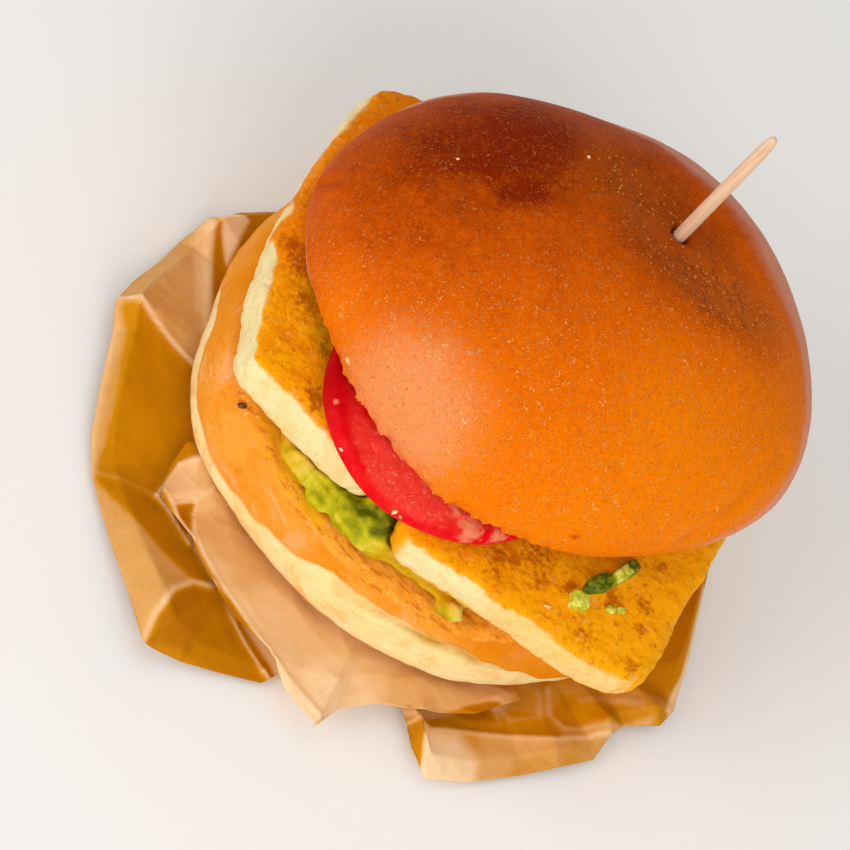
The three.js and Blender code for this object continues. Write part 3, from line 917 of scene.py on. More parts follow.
# Golden patches in the pale band: place in mm, width in mm, and strength
BAND_PATCHES = [
    ((6.5, -55.4, 9.9), 3.0, 0.6),
    ((20.0, -52.0, 13.5), 2.6, 0.5),
    ((-30.0, -46.5, 8.0), 2.6, 0.6),
]

# Line in mm along the more orange roll of the crust at the right, and its width
ORANGE_LINE = [(30.0, -45.0, 20.0), (37.0, -41.0, 17.5), (43.0, -36.0, 13.5), (47.0, -30.0, 11.0)]
ORANGE_WIDTH = 8 * MM

# Wet smear along the mash, and flakes in it: places in mm, width in mm, and strength
SMEAR_LINE = [(-27.0, -42.0, 22.0), (-20.5, -45.0, 22.0), (-14.0, -48.7, 22.0), (-8.0, -51.0, 22.0)]
SMEAR_WIDTH = 1.9 * MM
FLAKES = [
    ((-22.1, -47.3, 21.6), 0.9, 1.0),
    ((-17.9, -48.7, 21.8), 1.0, 1.0),
    ((-19.6, -48.2, 21.8), 0.7, 0.9),
]


def above_band(point, normal):
    """Height above the line between the pale band and the crust, in mm."""
    return point.z / MM - stepped(azimuth(point), BAND_EDGE)


def bottom_cut(point, normal):
    """Positive on the toasted cut face."""
    turn = azimuth(point)
    front = ease(-130, -118, turn) * ease(-46, -58, turn)
    under_slab = ease(-126, -140, turn)
    upper = ease(19.6 * MM, 21.6 * MM, point.z) + ease(0.35, 0.85, normal.z)
    return upper - 1.55 + 0.3 * front - under_slab


def crust_roll(point, normal):
    """1 where the crust is more orange, on its roll and in patches."""
    return max(bell(off_line(point, ORANGE_LINE), ORANGE_WIDTH), *soft_spots(point, ORANGE_PATCHES))


def band_crease_shade(point, normal):
    """1 in the crease between the pale band and the roll on the right, where painted shade darkens it."""
    broken = 0.9 + 0.5 * wander(point, 4 * MM, 3.0)
    along = bell(azimuth(point) + 64, 14)
    return broken * along * bell(above_band(point, normal) + 0.9 - 0.5 * wander(point, 6 * MM), 1.1)


def bottom_smear(point, normal):
    """1 in the wet smear beside the mash."""
    return max(bell(off_line(point, SMEAR_LINE), SMEAR_WIDTH), *soft_spots(point, FLAKES))


def bottom_shift(settings):
    """Rough crumb on the cut face, and a firm fold above the pale band."""

    def shift(point, normal):
        grow = 0.3 * MM * wander(point, 7 * MM)
        toasted = ease(0.0, 0.5, bottom_cut(point, normal))
        rough = wander(point, 2.2 * MM) + 0.6 * wander(point, 1.1 * MM, 4.0)
        grow += settings.roughness * toasted * rough
        above = above_band(point, normal) - 0.5 * wander(point, 6 * MM)
        turn = azimuth(point)
        roll = 0.25 + 0.75 * bell(turn + 48, 16)
        front = bell(turn + 85, 75) * (1 - toasted)
        grow += 0.8 * MM * roll * front * (ease(-0.6, 1.2, above) - ease(1.2, 4.5, above))
        grow -= 1.0 * MM * roll * front * bell(above + 0.8, 0.9)
        grow += 1.3 * MM * bell(turn + 123, 13) * bell(point.z / MM - 6.0, 5.0)
        grow += 0.12 * MM * wander(point, 2.4 * MM, 7.0) * (1 - toasted)
        return normal * grow

    return shift


def baked_side(settings):
    """Soft crust over a pale band, with a toasted cut face."""
    material, tree, shader = new_material("baked_side", roughness=0.6, specular=0.04)
    soften(shader, weight=0.1, depths=(3.0, 1.5, 0.6))
    coords = coordinates(tree)
    patches = clouds(tree, coords, settings.patches, 4.0, 0.6)
    mottle = clouds(tree, coords, settings.mottle, 5.0, 0.65)
    blush = clouds(tree, squeezed(tree, coords, (0.6, 0.6, 1.0)), settings.blush, 5.0, 0.65, 0.6)
    grain = grainy(tree, coords, settings.grain, 0.57, 0.44)

    veins = lined(tree, coords, settings.veins, 0.05, 1.2)
    rolled = product(tree, stored(tree, "roll"), stretched(tree, patches, 0.3, 0.6, 0.75, 1.0))
    crust = layered(
        tree, settings.crust,
        (stretched(tree, added(tree, mottle, 0.4, patches), 0.55, 0.95), settings.golden),
        (stretched(tree, blush, 0.5, 0.68, 0.0, 0.75), settings.pink),
        (stretched(tree, blush, 0.3, 0.44, 0.6, 0.0), settings.golden),
        (product(tree, veins, stretched(tree, mottle, 0.5, 0.66, 0.0, 0.45)), settings.streak),
        (rolled, settings.roll),
    )
    golden_band = ragged(tree, coords, centred(tree, stored(tree, "band_gold")), 3 * MM, 1.2, 0.4)
    band = layered(
        tree, settings.band,
        (product(tree, golden_band, 0.5), settings.crust),
        (stretched(tree, blush, 0.48, 0.66, 0.0, 0.42), settings.crust),
        (stretched(tree, blush, 0.48, 0.34, 0.0, 0.7), settings.floury),
    )
    streaks = clouds(tree, squeezed(tree, coords, (0.22, 1.0, 1.0)), 1.3 * MM, 4.0, 0.6, 0.5)
    crumb = layered(
        tree, settings.toast,
        (product(tree, grain["Light"], 0.6), settings.crumb),
        (stretched(tree, streaks, 0.5, 0.64, 0.0, 0.7), settings.streak),
    )
    smear = ragged(tree, coords, centred(tree, stored(tree, "smear")), 1.6 * MM, 0.9, 0.25)
    base = layered(
        tree, band,
        (ragged(tree, coords, stored(tree, "above_band"), 6 * MM, 2.6, 0.6), crust),
        # Painted shade in the crease above the pale band
        (stored(tree, "crease"), settings.crease),
        (ragged(tree, coords, stored(tree, "cut"), 2.5 * MM, 0.7, 0.2), crumb),
        (product(tree, smear, 0.75), settings.smear),
        (product(tree, grain["Dark"], 0.12), settings.streak),
    )
    height = added(tree, mottle, 0.5, product(tree, grain["Height"], 0.5))
    height = added(tree, blush, 1.2, height)
    wire(tree, shader, base, height, settings.bumps)
    return material


class BURGER_OT_bottom_bun(Operator):
    """Makes the lower bun half"""

    bl_idname = "burger.bottom_bun"
    bl_label = "Bottom bun"

    def execute(self, context):
        settings = context.scene.burger_bottom_bun
        bun = evened(form_of("bottom_bun"), "baked_bottom_bun", settings.detail)
        shape(bun, bottom_shift(settings))
        store(
            bun, above_band=above_band, band_gold=strongest_of(BAND_PATCHES), cut=bottom_cut,
            smear=bottom_smear, roll=crust_roll, crease=band_crease_shade,
        )
        finish_piece(bun, baked_side(settings), "bottom_bun")
        return {"FINISHED"}


# Tofu

# Brown marks on the slabs' tops: place in mm, width in mm, and strength
SEAR_MARKS = [
    ((-45.6, -20.6, 37.4), 1.8, 1.2),
    ((-41.0, -22.0, 37.6), 4.0, 0.75),
    ((-38.5, -16.0, 37.6), 5.0, 0.85),
    ((-36.0, -28.0, 37.6), 3.0, 0.7),
    ((-47.0, -8.0, 37.6), 4.0, 0.7),
    ((-46.0, 4.0, 37.6), 5.0, 0.75),
    ((-23.4, -42.4, 37.5), 1.7, 1.0),
    ((-21.5, -44.0, 37.3), 1.4, 1.0),
    ((20.7, -39.6, 36.2), 1.9, 0.95),
    ((21.7, -43.4, 36.2), 1.6, 0.75),
    ((23.2, -37.8, 36.2), 1.9, 0.95),
    ((28.9, -37.4, 36.3), 2.2, 0.7),
    ((33.9, -34.2, 36.3), 1.9, 0.85),
    ((40.9, -29.1, 36.4), 2.0, 1.05),
    ((44.7, -16.0, 36.4), 1.3, 1.0),
    ((48.6, -30.3, 36.4), 1.5, 0.8),
    ((26.0, -33.5, 36.3), 3.0, 0.75),
    ((46.5, -25.5, 36.4), 2.6, 0.6),
    ((41.0, -39.5, 36.4), 2.6, 0.55),
    ((51.5, -37.5, 36.4), 1.6, 0.7),
]

# Place in mm where the left slab's front corner is pushed in, how far, and the width of the push
LEFT_CORNER = (-42.5, -41.5, 34.0)
CORNER_PUSH = Vector((3.4, 0.8, 0.0)) * MM
CORNER_WIDTH = 9 * MM

# Outer edge of the left slab: depth along Y and its X there, in mm
LEFT_EDGE = [
    (-60.0, -40.0), (-44.1, -40.2), (-37.0, -44.1), (-27.0, -47.4), (-16.4, -50.7), (-0.9, -54.0),
    (60.0, -58.0),
]

# Width of the cream rim along that edge: depth along Y, and width there, in mm
CREAM_RIM = [
    (-60.0, 2.0), (-38.0, 3.0), (-31.0, 3.4), (-26.0, 2.2), (-21.0, 0.1), (-16.0, 0.6), (-9.0, -0.8),
    (60.0, -0.8),
]

# Line in mm along the top bun's edge on the left slab, with an olive stain and painted shadow of the bun,
# and the strip's width
OLIVE_AND_SHADOW_LINE = [(-37.5, -22.0, 37.6), (-32.5, -27.0, 37.6), (-27.5, -33.0, 37.6)]
OLIVE_AND_SHADOW_WIDTH = 2.2 * MM

# How far the bits of greens stand above the right slab's top
GREENS_HEIGHT = 2.0 * MM

# How much narrower a bit of greens is at its top, and how much a leaf and other bits narrow to their ends
GREENS_TAPER = 0.16
LEAF_NARROWING = 0.75
STALK_NARROWING = 0.15

# Size and height of the lumps of the greens, and the height of their finest relief
GREENS_LUMPS = 1.5 * MM
GREENS_LUMP_HEIGHT = 0.3 * MM
GREENS_RELIEF = 0.2 * MM

# Where chopped greens lie on the right slab: name, middle in mm, size in mm, and turn in radians
GREENS = [
    ("cube", (36.6, -35.6, 37.25), (3.7, 3.3, 3.0), 0.5),
    ("leaf", (37.6, -29.4, 37.1), (7.4, 3.7, 1.9), 1.15),
    ("stem", (39.9, -23.4, 37.4), (6.5, 2.6, 2.6), 1.35),
    ("cube", (42.2, -31.6, 36.6), (1.9, 1.5, 1.2), 0.2),
    ("cube", (43.8, -30.2, 36.6), (1.7, 1.3, 1.1), 0.9),
]

# Middles in mm of the dark leaf and of the stem's dark end
LEAF_SPOT = (37.0, -30.0, 37.6)
STEM_SPOT = (40.6, -20.8, 37.6)


def fried(bottom, top):
    """A field that is positive on a slab's fried faces and negative on its cut sides."""

    def field(point, normal):
        at_back = ease(-29, -20, point.y / MM) * ease(0, -4, point.x / MM)
        top_edge = top - 3.4 * MM * at_back
        near_top = ease(top_edge - 2.4 * MM, top_edge - 0.8 * MM, point.z)
        near_bottom = ease(bottom + 1.8 * MM, bottom + 0.6 * MM, point.z)
        wave = 0.8 * wander(point, 7 * MM, 12.0)
        upward = ease(0.3 - 0.8 * at_back, 0.9 - 0.8 * at_back, normal.z)
        from_edge = point.x / MM - stepped(point.y / MM, LEFT_EDGE) + wave
        rim = stepped(point.y / MM, CREAM_RIM)
        cream_rim = ease(rim + 0.8, rim - 0.8, from_edge) * ease(-43, -37, point.y / MM)
        above = near_top * upward * (1 - cream_rim) + 0.1 * wave * near_top
        return max(above, near_bottom * ease(-0.5, -0.9, normal.z)) - 0.5

    return field


def tofu_baking(point, normal):
    """How deeply a fried face is browned: deepest at the back of the left slab."""
    x, y, _ = point / MM
    if x < 3:
        return 0.45 + 0.5 * ease(-32, -12, y)
    return 0.28 - 0.5 * ease(34, 54, x)


def tofu_warmth(point, normal):
    """How orange a cut side is: most at the right slab's left end and along its foot."""
    x, _, z = point / MM
    if x < -1.2:
        return 0.12 + 0.3 * ease(31, 28, z)
    foot = 0.8 * ease(31.0, 28.0, z)
    return max(ease(9, 5, x), foot, 0.5 * ease(14, 30, x), 1.2 * ease(0.45, 0.85, normal.x))


def tofu_olive_and_shadow(point, normal):
    """1 along the top bun's edge on the left slab: olive stain and painted shadow of the bun."""
    return bell(off_line(point, OLIVE_AND_SHADOW_LINE), OLIVE_AND_SHADOW_WIDTH)


def tofu_shift(settings, bottom, top):
    """Puckered fried faces, and small dents and cracks in the cut sides."""
    is_fried = fried(bottom, top)

    def shift(point, normal):
        face = ease(-0.2, 0.3, is_fried(point, normal))
        pucker = wander(point, 4.2 * MM, 1.3) + 0.7 * wander(point, 1.6 * MM, 6.1)
        side = wander(point, 6 * MM, 2.2) + 0.6 * wander(point, 2.1 * MM, 9.4)
        crack = ridges(point, 5 * MM, 4.4) ** 6
        grow = settings.relief * (face * pucker + (1 - face) * (1.2 * side - 1.3 * crack))
        grow += 0.6 * MM * wander(point, 11 * MM, 8.0) * (1 - 0.7 * face)
        return normal * grow + CORNER_PUSH * bell(off_spot(point, LEFT_CORNER), CORNER_WIDTH)

    return shift


def fried_tofu(settings):
    """Fried gold faces with brown marks, and cream cut sides with hairline cracks."""
    material, tree, shader = new_material("fried_tofu", roughness=0.55, specular=0.045)
    soften(shader, weight=0.1, depths=(2.5, 1.8, 0.8))
    coords = coordinates(tree)
    patches = clouds(tree, coords, settings.patches, 4.0, 0.62, 0.4)
    mottle = clouds(tree, coords, settings.mottle, 5.0, 0.7, 0.4)
    grain = grainy(tree, coords, settings.grain, 0.6, 0.4)
    coarse = centred(tree, patches)
    fine = centred(tree, mottle)

    deep = added(tree, fine, 0.9, added(tree, coarse, 1.9, stored(tree, "baking")))
    sear = ragged(tree, coords, centred(tree, stored(tree, "sear")), 1.1 * MM, 2.6, 0.5)
    spots = spotted(tree, coords, 2.6 * MM, 0.3, 0.13, 0.08)
    olive = product(tree, stored(tree, "olive"), stretched(tree, mottle, 0.4, 0.6, 0.25, 0.9))
    face = layered(
        tree, settings.gold,
        (stretched(tree, deep, 0.1, 0.95), settings.amber),
        (product(tree, grain["Light"], 0.45), settings.blister),
        (product(tree, sear, 0.72), settings.sear),
        (product(tree, spots, 0.55), settings.sear),
        # Olive stain and painted shadow of the top bun along its edge
        (olive, settings.oily),
    )
    cracks = lined(tree, coords, settings.cracks, 0.045, 1.6)
    broken = product(tree, cracks, stretched(tree, mottle, 0.48, 0.62, 0.0, 0.7))
    crumbly = clouds(tree, squeezed(tree, coords, (1.0, 1.0, 1.6)), settings.curds, 5.0, 0.7, 0.8)
    side = layered(
        tree, settings.cream,
        (stretched(tree, added(tree, coarse, 1.6, 0.12), 0.0, 0.6, 0.0, 0.55), settings.warm),
        # Hollows and cracks: partly the curd's own colour, partly painted shade
        (stretched(tree, crumbly, 0.46, 0.34, 0.0, 0.45), settings.crack),
        (stretched(tree, crumbly, 0.54, 0.7, 0.0, 0.6), settings.curd),
        (product(tree, broken, 0.45), settings.crack),
        (stretched(tree, added(tree, fine, 0.4, stored(tree, "warmth")), 0.1, 1.0), settings.gold),
    )
    is_face = ragged(tree, coords, stored(tree, "fried"), 2.0 * MM, 1.2, 0.42)
    base = layered(tree, side, (is_face, face), (stored(tree, "greens"), settings.greens))
    lines = sums(tree, "SUBTRACT", crumbly, product(tree, broken, 0.3))
    lines = product(tree, lines, added(tree, is_face, -0.5, 0.5))
    height = sums(tree, "ADD", added(tree, mottle, 0.8, grain["Height"]), lines)
    wire(tree, shader, base, height, settings.bumps)
    return material


def on_greens(top):
    """1 on the bits that stand above a slab's top, 0 elsewhere."""

    def value(point, normal):
        near = max(ease(4.2, 3.2, off_spot(point, spot) / MM) for _, spot, _, _ in GREENS)
        return near * ease(top + 0.2 * MM, top + 0.6 * MM, point.z)

    return value


class BURGER_OT_tofu(Operator):
    """Makes the two fried slabs"""

    bl_idname = "burger.tofu"
    bl_label = "Tofu slabs"

    def execute(self, context):
        settings = context.scene.burger_tofu
        material = fried_tofu(settings)
        for node in ("tofu_left", "tofu_right"):
            low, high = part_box(node)
            top = high.z if node == "tofu_left" else high.z - GREENS_HEIGHT
            slab = evened(form_of(node), "fried_" + node, settings.detail, rounding=1)
            shape(slab, tofu_shift(settings, low.z, top))
            store(
                slab, fried=fried(low.z, top), sear=strongest_of(SEAR_MARKS), baking=tofu_baking,
                warmth=tofu_warmth, olive=tofu_olive_and_shadow, greens=on_greens(top),
            )
            finish_piece(slab, material, node)
        return {"FINISHED"}


def leafiness(point, normal):
    """1 on dark leaf, 0 on pale stalk."""
    leaf = ease(4.4, 3.0, off_spot(point, LEAF_SPOT) / MM)
    tip = ease(3.4, 2.2, off_spot(point, STEM_SPOT) / MM)
    return max(leaf * ease(-33.6, -32.8, point.y / MM), 0.75 * tip)


def greens_shift(point, normal):
    """Small lumps of the greens."""
    return normal * GREENS_LUMP_HEIGHT * wander(point, GREENS_LUMPS, 4.0)


def add_green(form, kind, spot, size, turn):
    """Adds a bit that tapers upwards and towards its ends, a leaf most of all."""
    before = len(form.verts)
    corners = bmesh.ops.create_cube(form, size=1.0)["verts"]
    edges = list({edge for vert in corners for edge in vert.link_edges})
    bmesh.ops.subdivide_edges(form, edges=edges, cuts=5, use_grid_fill=True)
    form.verts.ensure_lookup_table()
    made = form.verts[before:]
    bmesh.ops.scale(form, verts=made, vec=Vector(size) * MM)
    narrowing = LEAF_NARROWING if kind == "leaf" else STALK_NARROWING
    for vert in made:
        taper = 1 - GREENS_TAPER * (vert.co.z / (size[2] * MM) + 0.5)
        end = 2 * abs(vert.co.x) / (size[0] * MM)
        vert.co.x *= taper
        vert.co.y *= taper * (1 - narrowing * end ** 3)
    bmesh.ops.rotate(form, verts=made, matrix=Matrix.Rotation(turn, 3, "Z"))
    bmesh.ops.translate(form, verts=made, vec=Vector(spot) * MM)


def chopped_green(settings):
    """Moist chopped stalk and leaf."""
    material, tree, shader = new_material("chopped_green", roughness=0.35, specular=0.3)
    coords = coordinates(tree)
    mottle = clouds(tree, coords, settings.green_mottle, 4.0, 0.6, 0.4)
    pale = blended(tree, stretched(tree, mottle, 0.4, 0.62), settings.cube, settings.cube_pale)
    dark = blended(tree, stretched(tree, mottle, 0.4, 0.65), settings.leaf, settings.leaf_pale)
    leafy = ragged(tree, coords, centred(tree, stored(tree, "leafy")), 1.0 * MM, 1.0, 0.2)
    wire(tree, shader, blended(tree, leafy, pale, dark), mottle, GREENS_RELIEF)
    return material


class BURGER_OT_greens(Operator):
    """Makes the chopped greens on the right slab"""

    bl_idname = "burger.greens"
    bl_label = "Chopped greens"

    def execute(self, context):
        form = bmesh.new()
        for bit in GREENS:
            add_green(form, *bit)
        greens = object_from(form, "chopped_greens")
        add_modifier(greens, "softer", "SMOOTH", factor=0.5, iterations=2)
        apply_modifiers(greens)
        shape(greens, greens_shift)
        store(greens, leafy=leafiness)
        finish_piece(greens, chopped_green(context.scene.burger_crumbs))
        return {"FINISHED"}


# Avocado mash

# Riper or greener places, and places of painted shade: place in mm, width in mm, and how much
RIPE_AND_SHADED_PLACES = [
    ((-16.0, -47.5, 27.0), 2.6, 0.45),
    ((-6.6, -49.6, 26.2), 2.2, 0.25),
    ((-0.9, -49.6, 26.2), 2.4, -0.34),
    ((-2.9, -51.2, 23.6), 2.0, 0.1),
    ((-0.8, -49.4, 29.9), 1.3, 0.15),
    ((3.2, -50.2, 27.2), 1.6, 0.3),
    ((1.6, -51.8, 26.3), 1.6, 0.35),
    ((-10.5, -50.3, 25.2), 3.2, -0.12),
    # Painted shade high on the mash, under the slab and in the gap beside the right slab
    ((-6.2, -46.4, 28.4), 2.6, -0.3),
    ((-2.6, -47.6, 29.6), 1.8, -0.3),
    ((1.6, -49.6, 28.9), 1.3, -0.3),
    ((4.2, -48.4, 30.0), 2.2, -0.5),
    ((2.4, -45.4, 31.5), 2.6, -0.45),
    ((-8.0, -48.5, 26.5), 2.2, 0.12),
    ((22.5, -46.9, 25.6), 2.8, 0.7),
]

# Brown, oily ends: line through corners in mm, width in mm, and strength
OILY_LINES = [
    ([(-27.0, -42.0, 25.0), (-19.0, -47.0, 25.0)], 4.0, 1.0),
    ([(6.0, -50.5, 24.5), (14.0, -48.0, 25.0), (18.5, -46.8, 25.0)], 3.6, 1.0),
]

# Sizes of the lumps and of the streaks drawn out along the front
LUMP_SIZE = 4.2 * MM
STREAK_SIZE = 1.6 * MM


def oily_mash(point, normal):
    """How brown and oily the mash is, at its two ends."""
    return max(strength * bell(off_line(point, line), width * MM) for line, width, strength in OILY_LINES)


def drawn_out(point):
    """A point in a space where patterns are drawn out along the mash's front."""
    return Vector((0.35 * point.x + 0.2 * point.y, point.y, point.z))


def mash_shift(settings):
    """Rounded lumps and furrows of the mash, strongest where it is pushed out."""

    def shift(point, normal):
        outer = ease(34 * MM, 43 * MM, reach(point))
        lump = lumpy(point, LUMP_SIZE, 1.0)[0] - 0.5
        soft = wander(point, 2.6 * MM, 2.0) + 0.9 * wander(drawn_out(point), STREAK_SIZE, 5.0)
        return normal * settings.relief * outer * (0.6 * lump + 0.45 * soft)

    return shift


def mash_ripeness_and_shade(point, normal):
    """0 where the mash is dark green, 1 where it is pale yellow, with painted shade in creases, under the
    slab and in the gap.
    """
    lump, draw = lumpy(point, LUMP_SIZE, 1.0)
    # Lower between the lumps, which is painted shade in the creases
    ripe = 0.28 + 0.26 * draw + 0.24 * (lump - 0.35)
    ripe += 0.3 * wander(drawn_out(point), STREAK_SIZE, 5.0) + 0.12 * wander(point, 1.2 * MM, 3.0)
    return ripe + sum(soft_spots(point, RIPE_AND_SHADED_PLACES))


def moist_mash(settings):
    """Moist mash, from pale yellow to dark green."""
    material, tree, shader = new_material("moist_mash", roughness=0.4, specular=0.07)
    soften(shader, weight=0.06, depths=(2.0, 2.2, 0.6))
    mottle = clouds(tree, coordinates(tree), settings.mottle, 4.0, 0.65, 0.5)
    ripe = added(tree, centred(tree, mottle), 0.45, stored(tree, "ripe"))
    stops = [(0.0, settings.dark), (0.28, settings.green), (0.55, settings.yellow), (0.9, settings.pale)]
    oily = product(tree, stored(tree, "oily"), stretched(tree, mottle, 0.35, 0.6, 0.4, 0.95))
    base = blended(tree, oily, ramped(tree, ripe, stops), settings.oil)
    wire(tree, shader, base, mottle, settings.bumps)
    return material


class BURGER_OT_avocado(Operator):
    """Makes the avocado mash"""

    bl_idname = "burger.avocado"
    bl_label = "Avocado mash"

    def execute(self, context):
        settings = context.scene.burger_avocado
        mash = evened(form_of("avocado_mash"), "mashed_avocado", settings.detail, rounding=1)
        shape(mash, mash_shift(settings))
        store(mash, ripe=mash_ripeness_and_shade, oily=oily_mash)
        finish_piece(mash, moist_mash(settings), "avocado_mash")
        return {"FINISHED"}


# Tomato

# Pale pulp where the bun has torn the flesh: place in mm, width in mm, and strength
PULP_PATCHES = [
    ((13.0, -44.4, 42.8), 2.6, 1.0),
    ((17.8, -41.4, 42.4), 1.9, 0.95),
    ((9.0, -43.5, 42.8), 2.2, 0.7),
    ((-19.4, -44.2, 43.0), 0.8, 0.75),
]


def tomato_inside(point):
    """Distance in from the outer skin, in mm, on the slice's faces."""
    return (TOMATO_RADIUS - reach(point, TOMATO_MIDDLE)) / MM


def tomato_shift(point, normal):
    """Flesh sinks a little behind the wall, with fine grains."""
    inside = ease(2.5, 4.5, tomato_inside(point))
    upward = ease(0.4, 0.9, normal.z)
    pulpy = max(soft_spots(point, PULP_PATCHES))
    grains = 0.16 * wander(point, 1.1 * MM) + 0.22 * wander(point, 3.5 * MM, 3.0) - 0.03
    grains += pulpy * (0.35 + 0.5 * wander(point, 1.0 * MM, 6.0))
    return normal * MM * max(inside, pulpy) * upward * grains


def tomato_flesh(point, normal):
    """Where paler flesh shows: widest in the middle of the front."""
    spread = bell(azimuth(point, TOMATO_MIDDLE) + 84, 36)
    return ease(1.6, 4.2, tomato_inside(point) - 1.2 + 3.2 * spread) * (0.2 + 0.9 * spread)


def tomato_shade(point, normal):
    """How far painted shade darkens the red, towards the slice's left end."""
    return 0.9 * ease(-14 * MM, -25 * MM, point.x)


def wet_tomato(settings):
    """Wet slice: saturated wall, paler grainy flesh inside it."""
    material, tree, shader = new_material("wet_tomato", roughness=0.45, specular=0.05)
    soften(shader, weight=0.08, depths=(3.0, 0.6, 0.4))
    coords = coordinates(tree)
    lumps = clouds(tree, coords, settings.lumps, 4.0, 0.7)
    grain = grainy(tree, coords, settings.grain, 0.56, 0.42)
    flesh = ragged(tree, coords, centred(tree, stored(tree, "flesh")), 2.2 * MM, 1.2, 0.6)
    pulp = ragged(tree, coords, centred(tree, stored(tree, "pulp")), 1.3 * MM, 1.4, 0.3)
    pale = layered(
        tree, settings.flesh,
        (product(tree, grain["Light"], 0.55), settings.sugary),
        (product(tree, grain["Dark"], 0.4), settings.skin),
    )
    base = layered(
        tree, settings.skin,
        (product(tree, flesh, 0.85), pale),
        # Painted shade towards the slice's left end
        (stored(tree, "shade"), settings.deep),
        (product(tree, pulp, 0.85), settings.pulp),
    )
    height = product(tree, lumps, added(tree, flesh, 0.9, 0.1))
    wire(tree, shader, base, height, settings.bumps)
    return material


class BURGER_OT_tomato(Operator):
    """Makes the tomato slice"""

    bl_idname = "burger.tomato"
    bl_label = "Tomato slice"

    def execute(self, context):
        settings = context.scene.burger_tomato
        tomato = evened(form_of("tomato_slice"), "cut_tomato", settings.detail)
        shape(tomato, tomato_shift)
        store(tomato, flesh=tomato_flesh, pulp=strongest_of(PULP_PATCHES), shade=tomato_shade)
        finish_piece(tomato, wet_tomato(settings), "tomato_slice")
        return {"FINISHED"}


# Paper

# Folds of the sheet: height in mm, width in mm, paleness, which is a painted highlight along the fold,
# and the line through corners in mm from above
PAPER_FOLDS = [
    (0.5, 1.3, 0.9, ((-64.6, -33.4), (-55.0, -31.8), (-45.9, -30.3))),
    (0.5, 2.2, 0.6, ((-63.9, -4.0), (-57.6, -10.6), (-52.6, -17.3), (-49.0, -22.0))),
    (0.2, 2.6, 0.4, ((-64.5, -34.3), (-60.5, -39.1), (-55.1, -48.6), (-49.7, -57.5), (-44.7, -63.3))),
    (0.2, 1.2, 0.2, ((-44.3, -63.6), (-36.7, -60.6), (-32.6, -58.8))),
    (0.5, 1.6, 0.5, ((-15.6, -84.6), (-17.4, -80.0), (-18.2, -74.6), (-16.6, -69.0), (-13.8, -66.4))),
    (0.4, 0.9, 0.7, ((-32.5, -58.8), (-33.6, -51.0), (-31.5, -46.4))),
    (0.4, 0.9, 0.7, ((-32.5, -58.8), (-28.7, -59.4), (-22.0, -62.3))),
    (0.2, 0.8, 0.6, ((-28.7, -58.4), (-26.6, -54.6), (-26.0, -49.0))),
    (0.3, 0.9, 0.7, (
        (-26.6, -54.6), (-22.6, -60.9), (-14.8, -64.4), (-6.9, -66.6), (0.4, -68.9), (3.9, -70.0),
    )),
    (0.5, 0.9, 0.8, ((3.9, -69.8), (10.0, -71.0), (16.8, -72.6))),
    (0.5, 1.2, 0.5, (
        (29.9, -58.0), (34.0, -55.6), (39.4, -50.0), (47.4, -43.0), (53.6, -38.0), (61.2, -28.0),
    )),
    (0.12, 1.6, 0.2, ((35.4, -49.2), (39.1, -47.3), (43.6, -42.6), (40.1, -40.6))),
    (0.12, 1.6, 0.2, ((41.0, -39.9), (44.9, -40.3), (48.9, -35.9), (45.6, -31.0))),
    (0.15, 1.6, 0.25, ((46.8, -29.1), (50.1, -34.0), (53.9, -34.0), (60.5, -27.0), (66.0, -19.5))),
    (0.15, 1.6, 0.2, ((53.0, -26.5), (56.0, -23.0), (60.0, -20.0), (62.4, -18.8))),
    (0.3, 1.2, 0.5, ((67.4, -14.8), (66.0, -6.0), (62.2, 4.0), (58.6, 13.0))),
]

